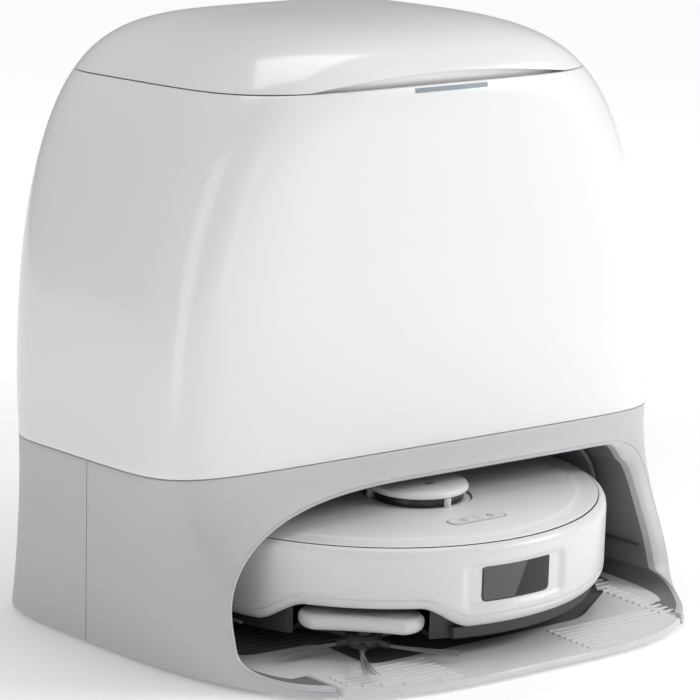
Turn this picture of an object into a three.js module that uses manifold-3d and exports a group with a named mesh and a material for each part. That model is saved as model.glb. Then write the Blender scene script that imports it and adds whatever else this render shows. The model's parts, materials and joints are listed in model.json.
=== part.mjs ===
// A robot vacuum and mop parked in its washing and emptying dock.
//
// Millimetres, +Z up. The origin is the bottom centre of the whole object, the dock opens
// towards -Y, and X = 0 is the middle plane of both the dock and the robot.
// The robot is drawn in its own level frame (origin on the floor under its centre, front
// towards -Y), then set down on the sloping tray of the dock.

import * as THREE from 'three';
import { mergeVertices } from 'three/addons/utils/BufferGeometryUtils.js';
import Module from 'manifold-3d';

const wasm = await Module();
wasm.setup();

// ---------------------------------------------------------------- driving dimensions: dock

const GAP = 0.4; // clearance between neighbouring pieces
const DOCK_HEIGHT = 455;
const SEAM_HEIGHT = 145.7; // joint between the grey base and the white body
const BODY_HALF = 234; // half width of the body at the seam
const FLOOR_HALF = 220; // half width of the base at the floor
const BODY_CENTRE = 72; // y where the plan outline is widest
const BODY_FRONT = 167; // body reach forward of BODY_CENTRE at the seam
const BODY_LEAN = 13; // how much further forward the front face comes at the top
const BODY_REAR = 95; // body reach behind BODY_CENTRE at the seam
const LIP_REACH = 133; // how far the base flares forward of the body
const HEEL_REACH = 55; // how far the base flares behind the body
const WALL = 4;
const OUTLINE_STEPS = 44; // points around a plan outline
const FOOT_HEIGHT = 3;
const FOOT_RADIUS = 14;
const SPLIT_FLOOR = 42; // y of the joint between the front and rear base shells at the floor
const SPLIT_SEAM = 15; // and at the seam

const ARCH_HALF = 190; // garage mouth
const ARCH_TOP = 122.5;
const ARCH_RADIUS = 63;
const ARCH_SILL = 8; // height of the low rim that is left in front of the mouth
const SLEEVE_BACK = -60; // y where the mouth's return wall ends
const NOTCH_HALF = 160; // half width of the gap in the rim that the tray lip fills

const HOOD_HALF = 184; // garage inside
const HOOD_TOP = 125;
const HOOD_RADIUS = 50;
const HOOD_WALL = 3;
const HOOD_BACK = 178;
const CONTACT_X = 28; // sprung charging contacts in the back wall
const CONTACT_FRONT = 168;

const RIM_HEIGHT = 411.8; // level joint between the body and the lid
const LID_GAP = 0.8;
const HINGE_HALF = 46;
const HINGE_PIN_RADIUS = 3;
const HINGE_BARREL = 6.5;
const GRIP_HALF = 118; // finger recess under the front edge of the lid
const GRIP_RISE = 8;
const BAR_HALF = 33; // status light bar
const BAR_HEIGHT = 3.4;
const BAR_DROP = 1.6;

const DECK_BOTTOM = 131;
const DECK_THICKNESS = 4;
const TANK_FRONT = 28;
const TANK_BACK = 142;
const TANK_INNER = 7;
const TANK_OUTER = 172;
const TANK_HEIGHT = 205;
const TANK_WALL = 2.5;
const TANK_CORNER = 26;

// --------------------------------------------------------------- driving dimensions: robot

const ROBOT_RADIUS = 175;
const ROBOT_Y = -15; // robot centre in the dock
const ROBOT_Z = 18; // tray height under the robot's centre
const ROBOT_PITCH = THREE.MathUtils.degToRad(2.67); // nose down on the tray
const ROUND_STEPS = 48;
const SHELL_TOP = 83; // joint between the bumper and the top cover
const SHELL_BOTTOM = 22;
const BUMPER_WALL = 3.6;
const BUMPER_TRAVEL = 3;
const COVER_RADIUS = 168.6;
const COVER_CROWN = 88;
const COVER_WALL = 3;
const CHASSIS_RADIUS = 160;
const CHASSIS_FLOOR = 12;
const CHASSIS_PLATE = 4;
const CHASSIS_TOP = 79;

const LIDAR_Y = -53;
const LIDAR_RADIUS = 37.6;
const LIDAR_BAND_RADIUS = 36;
const LIDAR_BASE_Z = 86.6;
const LIDAR_CAP_Z = 93.8;
const LIDAR_TOP_Z = 99.6;

const WINDOW_HALF = 30;
const WINDOW_LOW = 41.5;
const WINDOW_HIGH = 68.5;
const WINDOW_DEPTH = 2;
const RECESS_SIDE = 18; // soft recess around the window
const RECESS_BELOW = 8;
const RECESS_ABOVE = 3.5;

const PANEL_Y = -122.5;
const PANEL_HALF = 25.5;
const PANEL_RADIUS = 6.6;

const ARM_TIP = new THREE.Vector2(-117, -98); // side brush arm
const ARM_PIVOT = new THREE.Vector2(-79, -134);
const ARM_LOW = 19;
const ARM_HIGH = 31;
const ARM_RADIUS = 19.5;
const POCKET_RADIUS = 23;
const NOTCH_TOP = 37.5;
const HUB = new THREE.Vector2(-97, -118); // side brush spindle
const BRUSH_LOW = 4;
const BRISTLE_REACH = 72;
const BRISTLE_COUNT = 5;

const WHEEL_X = 117;
const WHEEL_Y = 8;
const WHEEL_RADIUS = 36;
const WHEEL_WIDTH = 22;
const WHEEL_ARM_PIVOT_Y = 56;
const WHEEL_ARM_PIVOT_Z = 40;

const ROLL_Y = -20;
const ROLL_Z = 19.5;
const ROLL_RADIUS = 17.5;
const ROLL_HALF = 82;

const CASTER_Y = -122;
const CASTER_RADIUS = 11;

const MOP_X = 71;
const MOP_Y = 88;
const MOP_RADIUS = 66;
const PAD_LOW = 1.2;
const PAD_HIGH = 7;

// ------------------------------------------------------------------------------- finishes

const FINISH = {
  shell: { color: 0xf2f3f5, roughness: 0.18, metalness: 0 },
  base: { color: 0xb4b8bd, roughness: 0.45, metalness: 0.1 },
  liner: { color: 0x6f7377, roughness: 0.6, metalness: 0 },
  tray: { color: 0xe9ebed, roughness: 0.5, metalness: 0 },
  robot: { color: 0xeff0f2, roughness: 0.3, metalness: 0 },
  silver: { color: 0xc3c6ca, roughness: 0.35, metalness: 0.2 },
  black: { color: 0x17181a, roughness: 0.2, metalness: 0 },
  grey: { color: 0x55585c, roughness: 0.6, metalness: 0 },
  rubber: { color: 0x2a2b2d, roughness: 0.85, metalness: 0 },
  clear: { color: 0xa9c2d6, roughness: 0.15, metalness: 0 },
  smoke: { color: 0x6d6a66, roughness: 0.2, metalness: 0 },
  steel: { color: 0xb9bcc0, roughness: 0.3, metalness: 1 },
  copper: { color: 0xc79a5b, roughness: 0.3, metalness: 1 },
  fabric: { color: 0x8f949b, roughness: 0.95, metalness: 0 },
  paper: { color: 0xe6e2d8, roughness: 0.95, metalness: 0 },
};

// ------------------------------------------------------------------------------- booleans

function toSolid(geometry) {
  const bare = geometry.clone();
  bare.deleteAttribute('normal');
  bare.deleteAttribute('uv');
  const merged = mergeVertices(bare, 1e-4);
  const position = merged.getAttribute('position');
  const triangles = new Uint32Array(merged.index.array);
  const mesh = { numProp: 3, vertProperties: new Float32Array(position.array), triVerts: triangles };
  const solid = new wasm.Manifold(new wasm.Mesh(mesh));
  if (solid.volume() > 0) return solid;
  for (let i = 0; i < triangles.length; i += 3) {
    const first = triangles[i];
    triangles[i] = triangles[i + 1];
    triangles[i + 1] = first;
  }
  return new wasm.Manifold(new wasm.Mesh({ ...mesh, triVerts: triangles }));
}

function toGeometry(solid) {
  const mesh = solid.getMesh();
  const geometry = new THREE.BufferGeometry();
  geometry.setAttribute('position', new THREE.BufferAttribute(new Float32Array(mesh.vertProperties), 3));
  geometry.setIndex(new THREE.BufferAttribute(new Uint32Array(mesh.triVerts), 1));
  geometry.computeVertexNormals();
  return geometry;
}

const join = (...solids) => solids.reduce((all, solid) => all.add(solid));
const cut = (body, ...tools) => tools.reduce((rest, tool) => rest.subtract(tool), body);
const overlap = (a, b) => a.intersect(b);

// ----------------------------------------------------------------------------- basic forms

function box(x0, x1, y0, y1, z0, z1) {
  const geometry = new THREE.BoxGeometry(x1 - x0, y1 - y0, z1 - z0);
  geometry.translate((x0 + x1) / 2, (y0 + y1) / 2, (z0 + z1) / 2);
  return toSolid(geometry);
}

function disc(radius, z0, z1, x = 0, y = 0, steps = ROUND_STEPS) {
  const geometry = new THREE.CylinderGeometry(radius, radius, z1 - z0, steps);
  geometry.rotateX(Math.PI / 2);
  geometry.translate(x, y, (z0 + z1) / 2);
  return toSolid(geometry);
}

function rod(radius, x0, x1, y, z, steps = 24) {
  const geometry = new THREE.CylinderGeometry(radius, radius, x1 - x0, steps);
  geometry.rotateZ(Math.PI / 2);
  geometry.translate((x0 + x1) / 2, y, z);
  return toSolid(geometry);
}

// A profile of [radius, height] points, closed on itself or ending on the axis, turned about Z.
function turned(profile, x = 0, y = 0, steps = ROUND_STEPS) {
  const points = profile.map(([radius, height]) => new THREE.Vector2(radius, height));
  const geometry = new THREE.LatheGeometry(points, steps);
  geometry.rotateX(Math.PI / 2);
  geometry.translate(x, y, 0);
  return toSolid(geometry);
}

function ring(outer, inner, z0, z1, x = 0, y = 0, steps = ROUND_STEPS) {
  return turned([[inner, z0], [outer, z0], [outer, z1], [inner, z1], [inner, z0]], x, y, steps);
}

// A shape drawn in X and Y, raised from z0 to z1.
function raised(shape, z0, z1, curveSegments = 10) {
  const geometry = new THREE.ExtrudeGeometry(shape, { depth: z1 - z0, bevelEnabled: false, curveSegments });
  geometry.translate(0, 0, z0);
  return toSolid(geometry);
}

// A shape drawn in X and Z, run from y0 to y1.
function run(shape, y0, y1, curveSegments = 10) {
  const geometry = new THREE.ExtrudeGeometry(shape, { depth: y1 - y0, bevelEnabled: false, curveSegments });
  geometry.rotateX(Math.PI / 2);
  geometry.translate(0, y1, 0);
  return toSolid(geometry);
}

function roundedRectangle(x0, x1, y0, y1, radius) {
  const shape = new THREE.Shape();
  shape.moveTo(x0 + radius, y0);
  shape.lineTo(x1 - radius, y0);
  shape.absarc(x1 - radius, y0 + radius, radius, -Math.PI / 2, 0, false);
  shape.lineTo(x1, y1 - radius);
  shape.absarc(x1 - radius, y1 - radius, radius, 0, Math.PI / 2, false);
  shape.lineTo(x0 + radius, y1);
  shape.absarc(x0 + radius, y1 - radius, radius, Math.PI / 2, Math.PI, false);
  shape.lineTo(x0, y0 + radius);
  shape.absarc(x0 + radius, y0 + radius, radius, Math.PI, Math.PI * 1.5, false);
  return shape;
}

// A round-ended strip between two centres.
function stadium(from, to, radius) {
  const angle = Math.atan2(to.y - from.y, to.x - from.x);
  const shape = new THREE.Shape();
  shape.absarc(to.x, to.y, radius, angle - Math.PI / 2, angle + Math.PI / 2, false);
  shape.absarc(from.x, from.y, radius, angle + Math.PI / 2, angle + Math.PI * 1.5, false);
  shape.closePath();
  return shape;
}

// Straight sides with a round-cornered top, standing on `low`.
function archShape(half, low, top, radius) {
  const shape = new THREE.Shape();
  shape.moveTo(-half, low);
  shape.lineTo(half, low);
  shape.lineTo(half, top - radius);
  shape.absarc(half - radius, top - radius, radius, 0, Math.PI / 2, false);
  shape.lineTo(-half + radius, top);
  shape.absarc(-half + radius, top - radius, radius, Math.PI / 2, Math.PI, false);
  shape.closePath();
  return shape;
}

// ------------------------------------------------------------------- the dock's plan outline

// Half width, reach forward and behind, and squareness of the outline at a height.
function outlineAt(z) {
  if (z >= SEAM_HEIGHT) {
    const u = Math.min((z - SEAM_HEIGHT) / (DOCK_HEIGHT - SEAM_HEIGHT), 1);
    const crown = (1 - u ** 20) ** (1 / 3);
    return {
      half: BODY_HALF * (1 - u ** 2.2) ** 0.246,
      front: (BODY_FRONT + BODY_LEAN * u) * crown,
      rear: BODY_REAR * crown,
      frontPower: 8 - 4 * u ** 2,
      rearPower: 3.3 + 1.2 * u,
    };
  }
  const t = (SEAM_HEIGHT - z) / SEAM_HEIGHT;
  const flare = t ** 1.8;
  return {
    half: BODY_HALF - (BODY_HALF - FLOOR_HALF) * t,
    front: BODY_FRONT + LIP_REACH * flare,
    rear: BODY_REAR + HEEL_REACH * t ** 1.3,
    frontPower: 8 - 4.7 * flare ** 0.6,
    rearPower: 3.3 + 0.2 * t,
  };
}

// Points around the outline, moved in by `inset`, as a superellipse with unlike halves.
function outlineRing(z, inset) {
  const plan = outlineAt(z);
  const half = Math.max(plan.half - inset, 1);
  const front = Math.max(plan.front - inset, 1);
  const rear = Math.max(plan.rear - inset, 1);
  const points = [];
  for (let i = 0; i < OUTLINE_STEPS; i += 1) {
    const angle = (i / OUTLINE_STEPS) * Math.PI * 2;
    const power = 2 / (Math.sin(angle) < 0 ? plan.frontPower : plan.rearPower);
    const reach = Math.sin(angle) < 0 ? front : rear;
    const x = half * Math.sign(Math.cos(angle)) * Math.abs(Math.cos(angle)) ** power;
    const y = reach * Math.sign(Math.sin(angle)) * Math.abs(Math.sin(angle)) ** power;
    points.push(new THREE.Vector3(x, BODY_CENTRE + y, z));
  }
  return points;
}

// A closed body through rings of points, capped flat at both ends.
function loft(rings) {
  const count = rings[0].length;
  const vertices = rings.flat().flatMap((point) => point.toArray());
  const centre = (points) => points
    .reduce((sum, point) => sum.add(point), new THREE.Vector3())
    .divideScalar(points.length);
  const bottom = rings.length * count;
  vertices.push(...centre(rings[0]).toArray(), ...centre(rings[rings.length - 1]).toArray());
  const index = [];
  for (let i = 0; i < count; i += 1) {
    const next = (i + 1) % count;
    for (let level = 0; level + 1 < rings.length; level += 1) {
      const low = level * count;
      const high = low + count;
      index.push(low + i, low + next, high + next, low + i, high + next, high + i);
    }
    const last = (rings.length - 1) * count;
    index.push(bottom, next, i, bottom + 1, last + i, last + next);
  }
  const geometry = new THREE.BufferGeometry();
  geometry.setAttribute('position', new THREE.BufferAttribute(new Float32Array(vertices), 3));
  geometry.setIndex(index);
  return toSolid(geometry);
}

const outlineBody = (heights, inset) => loft(heights.map((z) => outlineRing(z, inset)));

function steps(from, to, count) {
  return Array.from({ length: count + 1 }, (_, i) => from + ((to - from) * i) / count);
}

// Everything below the tray's sloping top, `drop` under the robot's own floor.
function belowTray(drop) {
  const size = 600;
  const geometry = new THREE.BoxGeometry(size, size, size);
  geometry.translate(0, 0, -size / 2);
  geometry.rotateX(ROBOT_PITCH);
  geometry.translate(0, ROBOT_Y, ROBOT_Z - drop);
  return toSolid(geometry);
}

// ------------------------------------------------------------------------------- scene graph

const group = new THREE.Group();
const robot = new THREE.Group();
robot.position.set(0, ROBOT_Y, ROBOT_Z);
robot.rotation.x = ROBOT_PITCH;
group.add(robot);

function add(parent, name, solid, finish) {
  const mesh = new THREE.Mesh(toGeometry(solid), new THREE.MeshStandardMaterial(FINISH[finish]));
  mesh.name = name;
  parent.add(mesh);
}

// --------------------------------------------------------------------------------- dock base

const BASE_LEVELS = [FOOT_HEIGHT, 12, 26, 48, 80, SEAM_HEIGHT - GAP];

function baseShell() {
  const inner = [FOOT_HEIGHT - 1, ...BASE_LEVELS.slice(1, -1), SEAM_HEIGHT];
  return cut(outlineBody(BASE_LEVELS, 0), outlineBody(inner, WALL));
}

// Everything behind the leaning joint between the front and rear base shells.
function behindSplit(shift) {
  const size = 600;
  const geometry = new THREE.BoxGeometry(size, size, size);
  geometry.translate(0, size / 2, 0);
  geometry.rotateX(Math.atan2(SPLIT_FLOOR - SPLIT_SEAM, SEAM_HEIGHT));
  geometry.translate(0, SPLIT_FLOOR + shift, 0);
  return toSolid(geometry);
}

function frontSkirt() {
  const reach = BODY_CENTRE - BODY_FRONT - LIP_REACH - 10;
  const mouth = run(archShape(ARCH_HALF, ARCH_SILL, ARCH_TOP, ARCH_RADIUS), reach, SLEEVE_BACK + 20);
  const throat = run(archShape(ARCH_HALF, -5, ARCH_TOP, ARCH_RADIUS), reach, SLEEVE_BACK + 20);
  const sleeveShape = archShape(ARCH_HALF + 3, FOOT_HEIGHT, ARCH_TOP + 3, ARCH_RADIUS + 3);
  const sleeveOuter = run(sleeveShape, reach, SLEEVE_BACK);
  const outer = outlineBody(BASE_LEVELS, 0.2);
  const sleeve = overlap(cut(sleeveOuter, throat), outer);
  const notch = box(-NOTCH_HALF, NOTCH_HALF, reach, -150, 0, ARCH_SILL + 6);
  return cut(join(cut(baseShell(), behindSplit(-GAP), mouth), sleeve), notch);
}

function rearShell() {
  const inlet = box(118, 142, 150, 300, 24, 42);
  const vent = box(-70, 70, 150, 300, 60, 112);
  return cut(overlap(baseShell(), behindSplit(0)), inlet, vent);
}

function garageHood() {
  const outer = run(
    archShape(HOOD_HALF + HOOD_WALL, FOOT_HEIGHT, HOOD_TOP + HOOD_WALL, HOOD_RADIUS + HOOD_WALL),
    SLEEVE_BACK + GAP, HOOD_BACK + HOOD_WALL,
  );
  const inner = run(archShape(HOOD_HALF, -5, HOOD_TOP, HOOD_RADIUS), SLEEVE_BACK - 1, HOOD_BACK);
  const slots = [-1, 1].map((side) => box(side * 28 - 7, side * 28 + 7, HOOD_BACK - 30, 200, 60, 72));
  const outside = overlap(outer, outlineBody(BASE_LEVELS, WALL + 1));
  const inside = overlap(inner, outlineBody([0, ...BASE_LEVELS.slice(1)], WALL + 1 + HOOD_WALL));
  return cut(outside, inside, ...slots);
}

function washTray() {
  const skirtInside = outlineBody(BASE_LEVELS, WALL + 1 + HOOD_WALL + 1);
  const lipBody = outlineBody(BASE_LEVELS, 0);
  const lipSpan = box(-NOTCH_HALF + GAP, NOTCH_HALF - GAP, -300, -150 - GAP, 0, 40);
  const mouthSpan = box(-ARCH_HALF + GAP, ARCH_HALF - GAP, -300, SLEEVE_BACK, 0, 40);
  const hoodSpan = box(-HOOD_HALF + GAP, HOOD_HALF - GAP, SLEEVE_BACK - 1, HOOD_BACK - GAP, 0, 40);
  const inside = overlap(skirtInside, join(mouthSpan, hoodSpan));
  const plate = overlap(join(inside, overlap(lipBody, lipSpan)), belowTray(1));
  const pool = roundedRectangle(-178, 178, -142, 22, 30);
  const boardWell = roundedRectangle(-152, 152, 30, 168, 24);
  return cut(plate, sunk(pool, 5), sunk(boardWell, 9));
}

// A pocket of a given depth below the tray's sloping top.
function sunk(shape, depth) {
  return cut(raised(shape, FOOT_HEIGHT + 1.5, 60), belowTray(depth));
}

function washBoard() {
  const plate = overlap(raised(roundedRectangle(-150, 150, 32, 166, 22), 12, 60), belowTray(5));
  const lifted = cut(plate, belowTray(8.6));
  const ribs = [-1, 1].flatMap((side) => [24, 38].map((radius) => (
    overlap(ring(radius, radius - 5, 10, 40, side * MOP_X, MOP_Y + ROBOT_Y, 24), belowTray(2.6))
  )));
  return join(lifted, ...ribs.map((rib) => cut(rib, belowTray(6))));
}

function feet() {
  const places = [[-165, -105], [165, -105], [-150, 150], [150, 150]];
  const names = ['foot_front_left', 'foot_front_right', 'foot_rear_left', 'foot_rear_right'];
  places.forEach(([x, y], i) => {
    add(group, names[i], disc(FOOT_RADIUS, 0, FOOT_HEIGHT - GAP, x, y, 24), 'rubber');
  });
}

// --------------------------------------------------------------------------------- dock body

const BODY_LEVELS = [...steps(SEAM_HEIGHT, 320, 3), 362, 392, RIM_HEIGHT];
const LID_BOTTOM = RIM_HEIGHT + LID_GAP;
const LID_LEVELS = [LID_BOTTOM, 424, 436, 444, 449.6, 452.8, DOCK_HEIGHT - 0.4];
const LID_INSIDE = [LID_BOTTOM - 1, 424, 436, 444, 449.6];

const rearAt = (z) => BODY_CENTRE + outlineAt(z).rear;
const frontAt = (z) => BODY_CENTRE - outlineAt(z).front;

function statusBarBlock(grow) {
  const top = RIM_HEIGHT - BAR_DROP + grow;
  const bottom = top - BAR_HEIGHT - 2 * grow;
  const front = frontAt(bottom);
  return box(-BAR_HALF - grow, BAR_HALF + grow, front - 5, front + WALL + grow, bottom, top);
}

function upperShell() {
  const outer = outlineBody(BODY_LEVELS, 0);
  const inner = outlineBody([SEAM_HEIGHT - 1, ...BODY_LEVELS.slice(1, -1), RIM_HEIGHT + 1], WALL);
  const axis = hingeAxis();
  const hinge = rod(HINGE_BARREL + GAP, -HINGE_HALF - 8, HINGE_HALF + 8, axis.y, axis.z);
  return cut(cut(outer, inner), hinge, statusBarBlock(GAP));
}

function statusBar() {
  const levels = [392, RIM_HEIGHT];
  return overlap(cut(outlineBody(levels, 0.3), outlineBody([391, 413], WALL - 1)), statusBarBlock(0));
}

function hingeAxis() {
  return { y: BODY_CENTRE + BODY_REAR - 1.6, z: RIM_HEIGHT + 2.4 };
}

function topLid() {
  const dome = cut(outlineBody(LID_LEVELS, 0), outlineBody(LID_INSIDE, WALL));
  const axis = hingeAxis();
  const clear = rod(HINGE_BARREL + GAP, -HINGE_HALF, HINGE_HALF, axis.y, axis.z);
  const knuckles = [-1, 1].map((side) => {
    const x0 = side > 0 ? 14 : -34;
    const x1 = x0 + 20;
    const barrel = rod(HINGE_BARREL, x0, x1, axis.y, axis.z);
    const arm = box(x0, x1, axis.y - 14, axis.y, axis.z - 1, axis.z + 5);
    return cut(join(barrel, arm), rod(HINGE_PIN_RADIUS + GAP, x0 - 1, x1 + 1, axis.y, axis.z));
  });
  return join(cut(dome, clear, fingerScoop()), ...knuckles);
}

// A long shallow lens cut out of the lid's front edge.
function fingerScoop() {
  const radius = (GRIP_HALF ** 2 + GRIP_RISE ** 2) / (2 * GRIP_RISE);
  const half = Math.asin(GRIP_HALF / radius);
  const centre = LID_BOTTOM + GRIP_RISE - radius;
  const shape = new THREE.Shape();
  shape.absarc(0, centre, radius, Math.PI / 2 - half, Math.PI / 2 + half, false);
  shape.lineTo(0, RIM_HEIGHT - 12);
  shape.closePath();
  return run(shape, -200, BODY_CENTRE - BODY_FRONT + 12, 24);
}

function hingePin() {
  const axis = hingeAxis();
  const pin = rod(HINGE_PIN_RADIUS, -HINGE_HALF, HINGE_HALF, axis.y, axis.z);
  const lugs = [-1, 1].map((side) => {
    const x0 = side > 0 ? 38 : -44;
    return join(
      rod(HINGE_BARREL, x0, x0 + 6, axis.y, axis.z),
      box(x0, x0 + 6, axis.y + 1, axis.y + 5, axis.z - 16, axis.z),
    );
  });
  const plate = box(-44, 44, axis.y + 2, axis.y + 5, axis.z - 18, axis.z - 9);
  return join(pin, ...lugs, plate);
}

function tankDeck() {
  const plate = outlineBody([DECK_BOTTOM, DECK_BOTTOM + DECK_THICKNESS], WALL + 2);
  const duct = disc(14, DECK_BOTTOM - 1, DECK_BOTTOM + DECK_THICKNESS + 1, 0, -40, 24);
  return cut(plate, duct);
}

// ------------------------------------------------------------------------------- dock insides

const DECK_TOP = DECK_BOTTOM + DECK_THICKNESS + GAP;

function tankShape(side, inset) {
  const x0 = side > 0 ? TANK_INNER : -TANK_OUTER;
  const x1 = side > 0 ? TANK_OUTER : -TANK_INNER;
  return roundedRectangle(
    x0 + inset, x1 - inset, TANK_FRONT + inset, TANK_BACK - inset, TANK_CORNER - inset,
  );
}

const tankMiddle = (side) => side * (TANK_INNER + TANK_OUTER) / 2;

function tank(side) {
  const body = raised(tankShape(side, 0), DECK_TOP, DECK_TOP + TANK_HEIGHT, 5);
  const ceiling = DECK_TOP + TANK_HEIGHT - TANK_WALL;
  const inside = raised(tankShape(side, TANK_WALL), DECK_TOP + TANK_WALL, ceiling, 5);
  const neck = disc(26, DECK_TOP + TANK_HEIGHT - 6, DECK_TOP + TANK_HEIGHT + 1, tankMiddle(side), 60, 28);
  const posts = [-1, 1].map((end) => {
    const x = tankMiddle(side) + end * 62;
    const inner = x - end * 9;
    return join(
      box(x - 3, x + 3, 106, 122, DECK_TOP + TANK_HEIGHT - 2, DECK_TOP + TANK_HEIGHT + 14),
      rod(3, Math.min(x, inner), Math.max(x, inner), 114, DECK_TOP + TANK_HEIGHT + 7, 12),
    );
  });
  return join(cut(body, inside, neck), ...posts);
}

function tankCap(side) {
  const top = DECK_TOP + TANK_HEIGHT;
  const x = tankMiddle(side);
  return turned([[0, top - 5], [25.4, top - 5], [25.4, top + GAP], [30, top + GAP], [30, top + 7],
    [27, top + 10], [0, top + 10]], x, 60, 28);
}

// A bail that lies flat across the tank and swings up on the two posts.
function tankHandle(side) {
  const top = DECK_TOP + TANK_HEIGHT;
  const x = tankMiddle(side);
  const z0 = top + 3;
  const z1 = top + 11;
  const arms = [-1, 1].map((end) => {
    const inner = x + end * 58.4;
    const arm = box(Math.min(inner, inner - end * 7), Math.max(inner, inner - end * 7), 20, 118.6, z0, z1);
    return cut(arm, rod(3 + GAP, x - 80, x + 80, 114, z0 + 4, 12));
  });
  const bar = box(x - 58.4, x + 58.4, 12, 22, z0, z1);
  return cut(join(bar, ...arms), disc(32, z0 - 1, z1 + 1, x, 60, 28));
}

function dustBag() {
  const low = roundedRectangle(-98, 34, -66, 18, 18);
  return raised(low, DECK_TOP + 14, DECK_TOP + 150, 4);
}

function dustBagCard() {
  const plate = box(-104, 40, -70, 22, DECK_TOP + 151, DECK_TOP + 154);
  return cut(plate, disc(20, DECK_TOP + 140, DECK_TOP + 160, -32, -24, 24));
}

function suctionMotor() {
  const x = -150;
  const y = -20;
  return turned([[0, DECK_TOP], [38, DECK_TOP], [38, DECK_TOP + 52], [30, DECK_TOP + 60],
    [30, DECK_TOP + 96], [14, DECK_TOP + 104], [0, DECK_TOP + 104]], x, y, 32);
}

function dryingFan() {
  const scroll = disc(36, DECK_TOP, DECK_TOP + 30, 146, -22, 32);
  const casing = join(scroll, box(110, 146, -58, -30, DECK_TOP, DECK_TOP + 30));
  return cut(casing, disc(18, DECK_TOP + 24, DECK_TOP + 31, 146, -22, 24));
}

function waterPump() {
  const body = box(64, 98, -58, -10, DECK_TOP, DECK_TOP + 34);
  const head = disc(13, DECK_TOP + 30, DECK_TOP + 52, 81, -34, 24);
  return join(body, head);
}

function powerInlet() {
  const back = rearAt(33) + 1.5;
  const block = box(118 + GAP, 142 - GAP, back - 26, back - 9, 24 + GAP, 42 - GAP);
  const pins = [-1, 1].map((side) => box(129 + side * 4, 131 + side * 4, back - 24, back - 14, 31, 35));
  const socket = cut(block, box(121, 139, back - 21, back, 27, 39));
  return join(socket, ...pins);
}

function exhaustGrille() {
  const inner = outlineBody([FOOT_HEIGHT - 1, ...BASE_LEVELS.slice(1)], WALL);
  const wall = cut(outlineBody(BASE_LEVELS, 0.3), inner);
  const frame = overlap(wall, box(-70 + GAP, 70 - GAP, 150, 300, 60 + GAP, 112 - GAP));
  const bars = steps(66, 104, 5).map((z) => box(-64, 64, 180, 230, z, z + 4));
  return cut(frame, ...bars);
}

function chargingContact(side) {
  const x = side * CONTACT_X;
  return box(x - 6, x + 6, CONTACT_FRONT, HOOD_BACK + HOOD_WALL + 1, 61, 71);
}

// ------------------------------------------------------------------------------- robot shells

function bumperProfile() {
  const inner = ROBOT_RADIUS - BUMPER_WALL;
  return [
    [ROBOT_RADIUS - 9.6, SHELL_BOTTOM], [ROBOT_RADIUS - 7, SHELL_BOTTOM],
    [ROBOT_RADIUS - 2.4, SHELL_BOTTOM + 3.6], [ROBOT_RADIUS, SHELL_BOTTOM + 11],
    [ROBOT_RADIUS, SHELL_TOP - 8], [ROBOT_RADIUS - 1.4, SHELL_TOP - 3], [ROBOT_RADIUS - 5, SHELL_TOP],
    [inner, SHELL_TOP], [inner, SHELL_BOTTOM + 11], [ROBOT_RADIUS - 9.6, SHELL_BOTTOM],
  ];
}

function armPocket(z0, z1) {
  return raised(stadium(ARM_PIVOT, ARM_TIP, POCKET_RADIUS), z0, z1, 8);
}

// Sideways room in the shell for the arm, out to the robot's edge.
function armNotch(z1) {
  const outward = (point) => point.clone().normalize().multiplyScalar(ROBOT_RADIUS + 12);
  const shape = new THREE.Shape();
  const from = new THREE.Vector2(-131, -82);
  const to = new THREE.Vector2(-62, -149);
  shape.moveTo(ARM_TIP.x + 14, ARM_TIP.y + 18);
  shape.lineTo(from.x, from.y);
  shape.lineTo(outward(from).x, outward(from).y);
  shape.lineTo(-150, -150);
  shape.lineTo(outward(to).x, outward(to).y);
  shape.lineTo(to.x, to.y);
  shape.closePath();
  return raised(shape, 0, z1, 1);
}

function bumper() {
  const ringBody = turned(bumperProfile());
  const front = overlap(ringBody, box(-200, 200, -200, 0, 0, 120));
  const half = WINDOW_HALF + GAP;
  const frame = roundedRectangle(-half, half, WINDOW_LOW - GAP, WINDOW_HIGH + GAP, 4);
  const window = run(frame, -200, -150, 4);
  const recess = windowRecess();
  return cut(front, window, recess, armNotch(NOTCH_TOP));
}

function windowRecess() {
  const half = WINDOW_HALF + RECESS_SIDE;
  const shape = roundedRectangle(-half, half, WINDOW_LOW - RECESS_BELOW, WINDOW_HIGH + RECESS_ABOVE, 12);
  const plate = run(shape, -190, -150, 5);
  return cut(plate, disc(ROBOT_RADIUS - 1.2, 0, 120));
}

function sensorWindow() {
  const shape = roundedRectangle(-WINDOW_HALF, WINDOW_HALF, WINDOW_LOW, WINDOW_HIGH, 3.6);
  const skin = ring(ROBOT_RADIUS - 1.6, ROBOT_RADIUS - 1.6 - WINDOW_DEPTH, 20, 90);
  return overlap(run(shape, -190, -150, 4), skin);
}

function bumperTrim() {
  const band = ring(ROBOT_RADIUS - 8, ROBOT_RADIUS - 11.4, 9, SHELL_BOTTOM - GAP);
  return overlap(band, box(-48, 200, -200, 0, 0, 60));
}

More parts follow.
